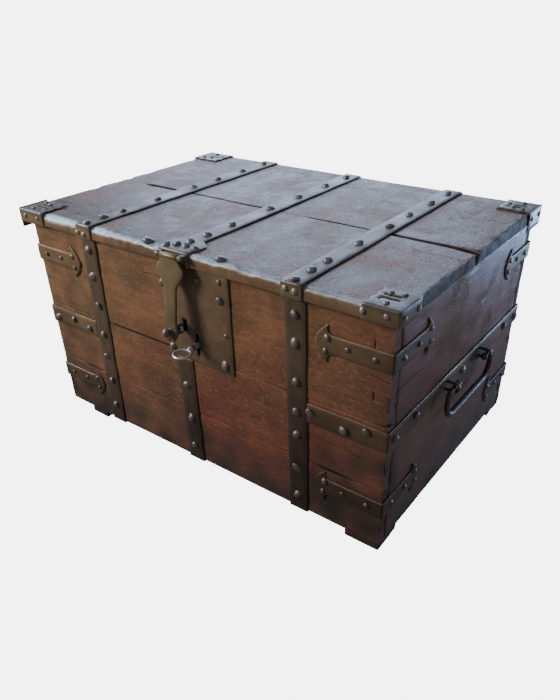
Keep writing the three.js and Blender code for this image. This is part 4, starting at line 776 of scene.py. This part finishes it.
# Each band has its side, how far from the middle its legs begin, and the nails of a leg.
band_nails = {
    "left": (-1, 226.3, ((-332.5, 198.1), (-288.4, 204.4), (-245.7, 197.4))),
    "right": (1, 223.5, ((230.3, 202.3), (284.2, 195.3), (319.9, 207.2))),
}
end_nails = ((-222.6, 199.0), (-161.7, 202.5), (-3.5, 200.0), (170.1, 201.5), (222.0, 200.0))
for number, (name, (sign, start, leg_nails)) in enumerate(band_nails.items()):
    corners = [(sign * start, -FLAT), (sign * END, -FLAT), (sign * END, FLAT), (sign * start, FLAT)]
    shells = [strip(bent(corners, 1.0, sign), ALONG_XY, 16.5, BAND_LEVEL, seed=230 + number * 7)]
    shells += wall_nails(leg_nails, -1, seed=20 + number)
    shells += wall_nails(leg_nails, 1, seed=22 + number)
    shells += nail_heads([(sign * (END + IRON), y, z) for y, z in end_nails], (sign, 0, 0), seed=24 + number)
    make(f"middle_band_{name}", "forged", shells, "carcass", body_iron)

# The corner brackets
# Eight brackets wrap the upright corners, one high and one low. Each leg ends in a flare with two horns
# and a shallow point, and four small nails hold it.


def corner_bracket(sign_x, sign_y, level, seed):
    """A strip round the corner. In its flares the distance from the corner grows with the flare's share, and
    less so towards the horns, while the half height grows with the share to the power of 2.2."""
    front, end, straight = 115.3 if sign_x > 0 else 112.8, 109.0, 81.0
    half, spread, horns, scallop = 13.7, 14.0, 19, 1.5
    corners = np.array(((END - front, FLAT), (END, FLAT), (END, FLAT - end))) * (sign_x, sign_y)
    path = bent(corners, 1.0, -sign_x * sign_y)
    whole = path[0][-1]
    share = np.r_[1.0, 0.955, np.linspace(0.85, 0.0, 8)]
    middle_rows = ruled(np.r_[front - straight + 8, path[0][1:-1], whole - end + straight - 8], 7.0)
    rise = np.r_[share, 0 * middle_rows, share[::-1]]
    rise, across = np.meshgrid(rise, lines(half, 1.0, 9), indexing="ij")

    def flare(reach):
        """How far from the corner the rows lie, out to the reach, with horns and a point."""
        dip, point = horns * rise**2 * across**2, scallop * rise**4 * abs(np.sin(2.5 * np.pi * across))
        return straight + (reach - straight) * rise - dip - point

    count = len(share)
    rows = np.repeat(middle_rows[:, None], across.shape[1], 1)
    rows = np.concatenate((front - flare(front)[:count], rows, whole - end + flare(end)[-count:]))
    points, normals = follow(path, rows, level + across * (half + spread * rise**2.2), ALONG_XY)
    shells = [sheet(points, normals, IRON, seed=seed, bevel=0.9)]
    nails = ((26.6, 0.0), (66.5, 1.0), (98.0, 9.8), (100.0, -9.8))
    out_x, out_y = END + IRON, FLAT + IRON
    on_end = [(sign_x * out_x, sign_y * (out_y - a), level + b) for a, b in nails]
    shells += wall_nails([(sign_x * (out_x - a), level + b) for a, b in nails], sign_y, SMALL_NAIL, seed)
    return shells + nail_heads(on_end, (sign_x, 0, 0), SMALL_NAIL, seed + 1)


for level_name in ("lower", "upper"):
    for face, sign_y in (("front", -1), ("back", 1)):
        for side, sign_x in (("left", -1), ("right", 1)):
            name = f"bracket_{level_name}_{face}_{side}"
            low, high = cad(name)
            shells = corner_bracket(sign_x, sign_y, (low[2] + high[2]) / 2, 260 + len(name) + 5 * sign_x)
            make(name, "forged", shells, "carcass", body_iron)

# The lock plate, its case and the bolt
# A forged plate covers the lock, with a keyhole and a slot for the nose of the hasp's staple.
# The case behind it and the bolt in the case are plain smith's work, seen only through the openings.
PIN_NAIL = (4.2, 2.6)
low, high = cad("lock_plate")
hole_x, hole_z, slot_x, slot_z = (18.85, 25.15), (228.6, 264.6), (-6.1, 1.9), (263.1, 283.6)
disc_x, disc_z = (17.0, 18.5, 25.5, 27.0), (241.6, 243.1, 250.1, 251.6)
bevel = 1.2
across = ruled(np.sort(np.r_[low[0], low[0] + bevel, slot_x, disc_x, hole_x, high[0] - bevel, high[0]]), 6.0)
upward = ruled(np.sort(np.r_[low[2], low[2] + bevel, hole_z, slot_z, disc_z, high[2] - bevel, high[2]]), 6.0)
mid_x, mid_z = np.meshgrid(middles(across), middles(upward), indexing="ij")
holes = np.zeros(mid_x.shape, bool)
for (left, right), (bottom, top) in ((hole_x, hole_z), (slot_x, slot_z), (disc_x[1:3], disc_z[::3]),
                                     (disc_x[::3], disc_z[1:3])):
    holes |= (mid_x > left) & (mid_x < right) & (mid_z > bottom) & (mid_z < top)
x, z = np.meshgrid(across, upward, indexing="ij")
points = np.stack((x, np.full_like(x, -FLAT), z), -1)
shells = [sheet(points, np.zeros_like(points) + FRONT, IRON, ~holes, seed=300)]
big = ((74.9, 333.2), (75.6, 228.9), (-32.2, 229.6), (-35.7, 337.4))
small = ((74.9, 361.9), (81.9, 280.0), (32.9, 354.9), (-26.4, 361.0))
shells += wall_nails(big, -1, seed=30) + wall_nails(small, -1, PIN_NAIL, 31)
make("lock_plate", "forged", shells, "carcass", iron("iron_plate", (0.225, 0.158, 0.093), rough=0.52))


def steel(name, colour=(0.55, 0.53, 0.50), metal=0.95):
    """Handled steel: bright, with dull patches and a little rust, and fine pits."""
    rust, edge = (0.30, 0.22, 0.15), (0.8, 0.78, 0.75)
    return iron(name, colour, rust, edge, metal, rough=0.3, relief=0.15)


dress("lock_case", iron("iron_case", (0.06, 0.045, 0.032)))
dress("lock_bolt", steel("steel_bolt"))

# The lid boards
# Two thick oak boards make the lid, its top painted darker and bluer as shade and a cool sheen. The front
# one's edge is rubbed round and wavy, and it shines where hands have worn it, from a smoother surface and
# a painted bluish white highlight. Two battens cross them underneath.
# The edge colour paints a bluish white highlight on the rubbed edge, and the top tint paints the top darker
# and bluer as shade and a cool sheen.
lid_oak = oak("oak_lid", (0.148, 0.089, 0.047), offset=(0.3, 0.2, 0.5), spread=0.06, red_and_shade=(1.0, 0.95, 1.0),
              patch=(2.0, 1.65, 1.55), edge=(0.55, 0.77, 1.0), fleck=(0.34, 0.27, 0.25), fleck_share=0.6,
              pore_share=0.1, rough=0.42, gloss=0.16, grit=0.9, relief=0.8, squeeze=2.2,
              painted_top_tint=(0.48, 0.54, 0.86))
lid_cracks = {
    "lid_front_board": [(((640, 190), (690, 192), (722, 191)), 0.5, 2.0)],
    "lid_back_board": [(((0, 120), (70, 118), (120, 119)), 0.4, 2.0)],
}
for number, (name, cracks) in enumerate(lid_cracks.items()):
    side, rub = 1 - number, 0.0 if number else 9.0
    seams = ((side, 62, 148, 4.0), (side, 165, 350, 1.3), (side, 430, 552, 1.3), (side, 574, 760, 3.2))
    chips = (((722, 228 * side, 0), (30, 5, 40), 3.0),)
    board = board_shell(cad(name), (RIGHT, BACK, DOWN), cracks=cracks, chips=chips, rub=rub,
                        seed=170 + number * 10, cell=3.6, seams=seams, furrow=0.06, end_dirt=0.75)
    make(name, "worn", [board], "lid", lid_oak)
for number, name in enumerate(("lid_batten_left", "lid_batten_right")):
    board = board_shell(cad(name), (BACK, RIGHT, UP), arris=2.0, seed=190 + number * 10)
    make(name, "worn", [board], "lid", inside_oak)

# The lid straps
# Three straps cross the lid above those of the body. Each turns down over the front edge in a lip and is
# rolled round its hinge pin behind. The middle one widens in front into the plate that carries the hasp.
# Its top tint paints the top darker and bluer, as shade and a cool sheen.
lid_iron = iron("iron_lid", (0.165, 0.125, 0.068), rust=(0.180, 0.125, 0.068), edge=(0.24, 0.19, 0.12),
                metal=0.1, rough=0.40, nail=(0.260, 0.220, 0.190), painted_top_tint=(0.58, 0.65, 1.0))
LID_FRONT, LID_BACK, LID_TOP, LIP_LEVEL = -247.3, 241.3, 393.6, 373.3
outer_nails = (-239.4, -202.3, -163.1, -84.0, 8.4, 72.8, 148.4, 214.9)
# Each strap has its middle, how far back its nails are, and the nails of its lip in front.
lid_straps = {
    "left": (-201.95, outer_nails, ((-213.5, 381.5), (-198.8, 380.8))),
    "centre": (-2.1, (-175.7, -120.4, -20.3, 57.4, 144.2, 214.9), ()),
    "right": (204.05, outer_nails, ((196.0, 386.2), (211.0, 384.6))),
}
hasp_x, hasp_pin, hasp_radii = -2.1, (-256.3, 388.6), (2.4, 4.5)


def widened(place):
    """The middle strap's half width at a place: the plate that carries the hasp is 33 on each side."""
    return np.interp(place[..., 0], (-238, -233, -213, -206, -200), (28.7, 33, 33, 26, HALF_STRAP))


for number, (name, (x, nail_places, lip_nails)) in enumerate(lid_straps.items()):
    half, more, count = (widened, np.arange(30.0, 76.0, 2.0), 7) if name == "centre" else (HALF_STRAP, (), 5)
    corners = [(LID_FRONT, LIP_LEVEL), (LID_FRONT, LID_TOP), (LID_BACK, LID_TOP), (LID_BACK, 386.0)]
    path = bent(corners, 1.0, -1)
    shells = [strip(path, ALONG_YZ, half, x, seed=320 + number * 7, more=more, count=count)]
    shells += nail_heads([(x, y, LID_TOP + IRON) for y in nail_places], UP, seed=40 + number)
    if lip_nails:
        shells += nail_heads([(a, LID_FRONT - IRON, z) for a, z in lip_nails], FRONT, SMALL_NAIL, 43 + number)
    tongue = bent([(LID_BACK, 395.0), (LID_BACK, HINGE_PIN[1])], 1.0, -1)
    shells += rolled_end(tongue, hinge_x[name], 13.0, IRON, HINGE_PIN, HINGE_RADII, 165.0, 345.0, (6, 8))
    if name == "centre":
        cluster = ((-24.5, -240.4), (-12.6, -228.9), (-2.8, -210.7), (5.6, -229.6), (24.5, -229.2))
        shells += nail_heads([(a, b, LID_TOP + IRON) for a, b in cluster], UP, (6.5, 5.0), 47)
        stem_y = LID_FRONT - IRON + 0.6
        stem = bent([(stem_y, 384.3), (stem_y, 392.9)], 1.0, -1)
        for place in (hasp_x - 22.4, hasp_x + 22.4):
            shells += rolled_end(stem, place, 10.0, 4.6, hasp_pin, hasp_radii, 10.0, 345.0, (9, 9))
    make(f"lid_strap_{name}", "forged", shells, "lid", lid_iron)
dress("hasp_pin", lid_iron)

# The lid brackets and the studs
# A pierced leaf lies on each corner of the lid, scalloped along its inner edges and turned down over the
# lid's two edges, further at the end. Two big studs stand on either side of the hasp.
LID_LEFT, LID_RIGHT, ALONG_XZ = -366.3, 356.3, (RIGHT, UP, BACK)


def lid_bracket(sign_x, sign_y, span, seed):
    """The leaf with its long lip, as one strip whose inner edges come in by scallops of |sin|, and a lip
    over the lid's end. Slits in the leaf are left-out cells."""
    edge_x, edge_y = LID_RIGHT if sign_x > 0 else LID_LEFT, LID_FRONT if sign_y < 0 else LID_BACK
    outer_x, outer_y = edge_x + sign_x * IRON, edge_y + sign_y * IRON
    (wide, deep), scallop = span, 3.5
    corners = [(edge_y, LIP_LEVEL), (edge_y, LID_TOP), (edge_y - sign_y * (deep - IRON), LID_TOP)]
    path = bent(corners, 1.0, sign_y)
    bend, whole = path[0][-2], path[0][-1]
    leaf_rows = bend + (whole - bend) * np.array((0.3, 0.42, 0.47, 0.62, 0.67, 0.82, 0.97, 1.0))
    rows = ruled(np.r_[0, 1.2, path[0][1:-1], leaf_rows], 3.0)
    share = ruled(np.array((0.0, 0.02, 0.3, 0.34, 0.55, 0.6, 0.76, 0.8, 0.975, 1.0)), 0.07)
    along, across = np.meshgrid(rows, share, indexing="ij")
    top = np.clip((along - bend) / (whole - bend), 0, 1)
    side_wave = scallop * abs(np.sin(3 * np.pi * top)) * across**3
    end_wave = scallop * abs(np.sin(3 * np.pi * across)) * top**3
    aside = outer_x - sign_x * (across * wide - side_wave)
    points, normals = follow(path, along - end_wave, aside, ALONG_YZ)
    mid_top, mid_share = np.meshgrid((middles(rows) - bend) / (whole - bend), middles(share), indexing="ij")
    slits = np.zeros(mid_top.shape, bool)
    for a, b, c, d in ((0.42, 0.47, 0.3, 0.8), (0.62, 0.67, 0.34, 0.55), (0.62, 0.67, 0.6, 0.8),
                       (0.3, 0.42, 0.76, 0.8)):
        slits |= (mid_top > a) & (mid_top < b) & (mid_share > c) & (mid_share < d)
    shells = [sheet(points, normals, IRON, ~slits, seed=seed, bevel=0.9)]
    lip_bottom = 371.3 if sign_x > 0 > sign_y else 363.3
    lip = bent([(edge_x, lip_bottom), (edge_x, 396.4)], 1.0, sign_x)
    shells.append(strip(lip, ALONG_XZ, 28.5, outer_y - sign_y * 29.0, seed=seed + 1))
    on_leaf = [(outer_x - sign_x * a, outer_y - sign_y * b, LID_TOP + IRON)
               for a, b in ((25.9, 12.8), (17.6, 45.3), (34.8, 41.3))]
    on_lip = [(outer_x - sign_x * a, outer_y, 385.5) for a in (17.5, 50.0)]
    on_end = [(outer_x, outer_y - sign_y * a, 382.9) for a in (12.0, 47.0)]
    shells += nail_heads(on_leaf, UP, PIN_NAIL, seed)
    shells += nail_heads(on_lip, (0, sign_y, 0), (4.0, 2.6), seed + 1)
    return shells + nail_heads(on_end, (sign_x, 0, 0), (4.0, 2.6), seed + 2)


for name, sign_x, sign_y, span in (("front_left", -1, -1, (62, 55)), ("front_right", 1, -1, (52, 55)),
                                   ("back_left", -1, 1, (62, 60)), ("back_right", 1, 1, (57, 58))):
    shells = lid_bracket(sign_x, sign_y, span, 350 + sign_x * 3 + sign_y * 5)
    make(f"lid_bracket_{name}", "forged", shells, "lid", lid_iron)
for name, x, y in (("left", -63.0, -237.0), ("right", 77.0, -235.0)):
    stud = nail_heads([(x, y, 393.0)], UP, (9.6, 6.6), 60)
    make(f"lid_stud_{name}", "forged", stud, "lid", lid_iron)

# The hasp
# A forged leaf hangs from its pin in front of the lid: a bulged head, a waist and a forked foot, worn
# smooth. It leans out at the foot, where its staple stands off the lock plate.
lean = -np.radians(7.1)


def hang(shells):
    """Shells made about the hasp's pin, turned outwards to where the hasp hangs."""
    turn = np.array(((1, 0, 0), (0, np.cos(lean), -np.sin(lean)), (0, np.sin(lean), np.cos(lean))))
    return [(points @ turn.T + (hasp_x, *hasp_pin), faces, masks) for points, faces, masks in shells]


outline = ((0, 16.6), (5.7, 17.2), (9, 18.8), (12, 21.4), (15, 24.6), (19, 26.5), (23, 26.0), (28, 24.0),
           (33, 20.6), (38, 17.4), (43, 14.2), (48, 12.3), (60, 11.9), (80, 11.4), (96, 11.1), (104, 11.9),
           (111.7, 13.2), (117, 12.8), (122, 11.4), (131, 8.6))
fork, root, prong = 112.0, 122.0, 8.5  # where the foot begins to part, the notch's root, a prong's length
rows = ruled(np.array((2.0, 3.0, 45.0, fork)), 2.6)
share = np.r_[np.linspace(0, 0.9, 6)[1:], 1.0]
down, across = np.meshgrid(np.r_[rows, np.full(len(share), fork)], lines(13.0, 0.9, 15), indexing="ij")
foot = root + prong * abs(np.sin(np.pi * across)) ** 0.8
down[len(rows):] += share[:, None] * (foot[len(rows):] - fork)
half = np.interp(down, *np.array(outline).T)
points = np.stack((across * half, np.full_like(down, 2.0), -down), -1)
leaf = sheet(points, np.zeros_like(points) + FRONT, 4.0 - 0.9 * across**4, seed=370, dent=0.2)
roll = knuckle((0.0, 0.0, 0.0), 34.0, hasp_radii, 20.0, 345.0, 371)
hasp_iron = iron("iron_hasp", (0.205, 0.150, 0.080), rust=(0.175, 0.120, 0.066), rough=0.42, relief=0.2)
make("hasp", "forged", hang([leaf, roll]), "hasp", hasp_iron)

# The hasp's staple
# One piece of turned iron sits in a hole of the hasp's foot: a knob outside, a boss and a collar inside,
# and a flat nose with a window for the bolt.


def lathe(profile, centre, sides=20):
    """A turned shell about a line along Y, through rings of (radius, y)."""
    angle = np.linspace(0, 2 * np.pi, sides, endpoint=False)
    radius, along = np.array(profile, float).T[..., None]
    rings = np.stack((radius * np.cos(angle), along + 0 * angle, radius * np.sin(angle)), -1)
    return loft(rings + np.array(centre, float), wear=0.15)


def ball(radius, y, first, last, count):
    """The profile of a ball round a place on the line, between two angles from its front."""
    return [(radius * np.sin(a), y - radius * np.cos(a)) for a in np.radians(np.linspace(first, last, count))]


def lattice(marks, steps):
    """A block's lattice lines along X, Y and Z, ruled between its marks, and the points where they cross."""
    cuts = [ruled(np.array(row, float), step) for row, step in zip(marks, steps)]
    return cuts, np.stack(np.meshgrid(*cuts, indexing="ij"), -1)


collar = [(4.6, -4.2), (4.8, -2.8), (5.2, -2.3), (4.0, -2.2), (4.0, 2.2), (6.0, 2.4), (6.5, 3.2), (6.3, 8.8),
          (8.4, 9.5), (9.0, 10.4), (9.0, 11.8), (8.2, 12.5)]
cuts, nose = lattice(((-3, 3), (10.0, 16.7, 22.9, 25.5), (-8, -4.6, 4.6, 8)), (2.0, 1.6, 1.6))
mid_y, mid_z = middles(cuts[1]), middles(cuts[2])
window = ((mid_y > 16.7) & (mid_y < 22.9))[:, None] & (abs(mid_z) < 4.6)
nose[..., ::2] *= 1 - 0.12 * np.clip((nose[..., 1:2] - 16) / 10, 0, 1) ** 2
drop = np.array((0.0, 0.0, -114.0))
nose = shell(nose + drop, skin(np.repeat(~window[None], len(cuts[0]) - 1, 0)))
turned = lathe(ball(7, -9.4, 4, 132, 10) + collar, drop)
staple_iron = iron("iron_staple", (0.190, 0.150, 0.165), edge=(0.42, 0.38, 0.40), rough=0.36)
make("hasp_staple", "turned", hang([turned, nose]), "hasp", staple_iron)

# The key
# An iron key stands in the lock with its ring flat: a bow bent from wire, a swollen collar, a round shank
# and a bit with two wards. The ring is polished by the hand.


def tube(places, aside, over, radius, loop=False, sides=12):
    """A shell round a line of places. Each ring lies in the plane of the two given directions, with half
    sizes given for both."""
    angle = np.linspace(0, 2 * np.pi, sides, endpoint=False)
    radius = np.broadcast_to(np.array(radius, float), (len(places), 2))
    rings = places[:, None] + aside[:, None] * (radius[:, :1] * np.cos(angle))[..., None]
    return loft(rings + np.array(over, float) * (radius[:, 1:] * np.sin(angle))[..., None], loop, wear=0.3)


key_place = np.array((22.0, -239.0, 246.6))
turn = np.linspace(0, 2 * np.pi, 48, endpoint=False)
out = np.stack((np.cos(turn), np.sin(turn), 0 * turn), -1)
ring = tube(key_place + (0, -37, 0) + 13.5 * out, out, UP, (1.8, 2.0), loop=True)
profile = ((1.5, -24.6), (2.6, -24.4), (3.6, -22.6), (5.4, -20.4), (6.0, -18.0), (5.4, -15.4), (4.0, -13.0),
           (3.9, -11.6), (4.4, -10.6), (4.4, 10.0), (4.4, 22.5), (3.6, 24.4))
shank = lathe(profile, key_place)
bit_marks = ((1.0, 7.5, 9.5, 12.5, 14.0, 17.0), (3.0, 6.0, 8.0, 11.0, 14.0), (-1.5, -1.1, 1.1, 1.5))
cuts, bit = lattice(bit_marks, (1.5, 1.5, 1.5))
mid_x, mid_y = middles(cuts[0])[:, None], middles(cuts[1])[None, :]
wards = (mid_x > 7.5) & (mid_x < 9.5) & (mid_y < 8) | (mid_x > 12.5) & (mid_x < 14.0) & (mid_y > 11)
bit = shell(bit + key_place, skin(np.repeat(~wards[:, :, None], len(cuts[2]) - 1, 2)))
key_steel = steel("steel_key", (0.78, 0.75, 0.68), metal=0.6)
make("key", "forged", [ring, shank, bit], "key", key_steel)

# The bail handles and their staples
# A round iron bar is bent into a wide loop that hangs from two staples at each end of the chest. Its ends
# turn in through the staples and carry balls. Each staple is a bar bent in a U and driven through the band.
handle_iron = iron("iron_handle", (0.100, 0.090, 0.098), rust=(0.075, 0.055, 0.050), rough=0.46, metal=0.55)
limb, wood, tip = 6.9, 12, 29  # how far a staple's limbs lie off its middle, enter the wood and end in it
bail = [(-51, 0), (-83, 0), (-83, -46), (83, -46), (83, 0), (51, 0)]  # along Y and up from its eyes
for side, sign in (("left", -1), ("right", 1)):
    eye_x, eye_z = sign * 366.3, BAND_LEVEL
    path = bent(bail, (12.0, 23.0, 23.0, 12.0), steps=9)
    line = ruled(path[0], 5.0)
    swell = 4.0 + 1.6 * np.exp(-(((line - path[0][-1] / 2) / 78) ** 4))
    swell += 0.12 * drift(np.stack((line, 0 * line, 0 * line), -1), 30.0, 5)
    places, normals = follow(path, line, 0 * line, ALONG_YZ)
    bar = tube(places + (eye_x, 0, eye_z), normals, RIGHT, np.stack((swell, swell), -1), sides=14)
    balls = [lathe(ball(5.9, y, 5, 175, 11), (eye_x, 0, eye_z), 14) for y in (-51.0, 51.0)]
    make(f"handle_{side}", "forged", [bar, *balls], f"handle_{side}", handle_iron)
    tip_x, bow_x = eye_x - sign * tip, eye_x + sign * limb
    path = bent([(tip_x, limb), (bow_x, limb), (bow_x, -limb), (tip_x, -limb)], 6.6, sign, steps=9)
    line = ruled(path[0], 4.0)
    places, normals = follow(path, line, 0 * line, ALONG_XZ)
    depth = np.clip((abs(places[:, 0] - eye_x) - wood) / (tip - wood), 0, 1)
    thick = np.stack((2.0 - 0.9 * depth, 3.9 - 2.2 * depth), -1)
    places[:, 2] -= np.sign(places[:, 2]) * 4.2 * depth
    for end, y in (("front", -62.0), ("back", 62.0)):
        eye = tube(places + (0, y, eye_z), normals, BACK, thick, sides=10)
        make(f"handle_eye_{side}_{end}", "forged", [eye], "carcass", handle_iron)

bpy.context.view_layer.update()
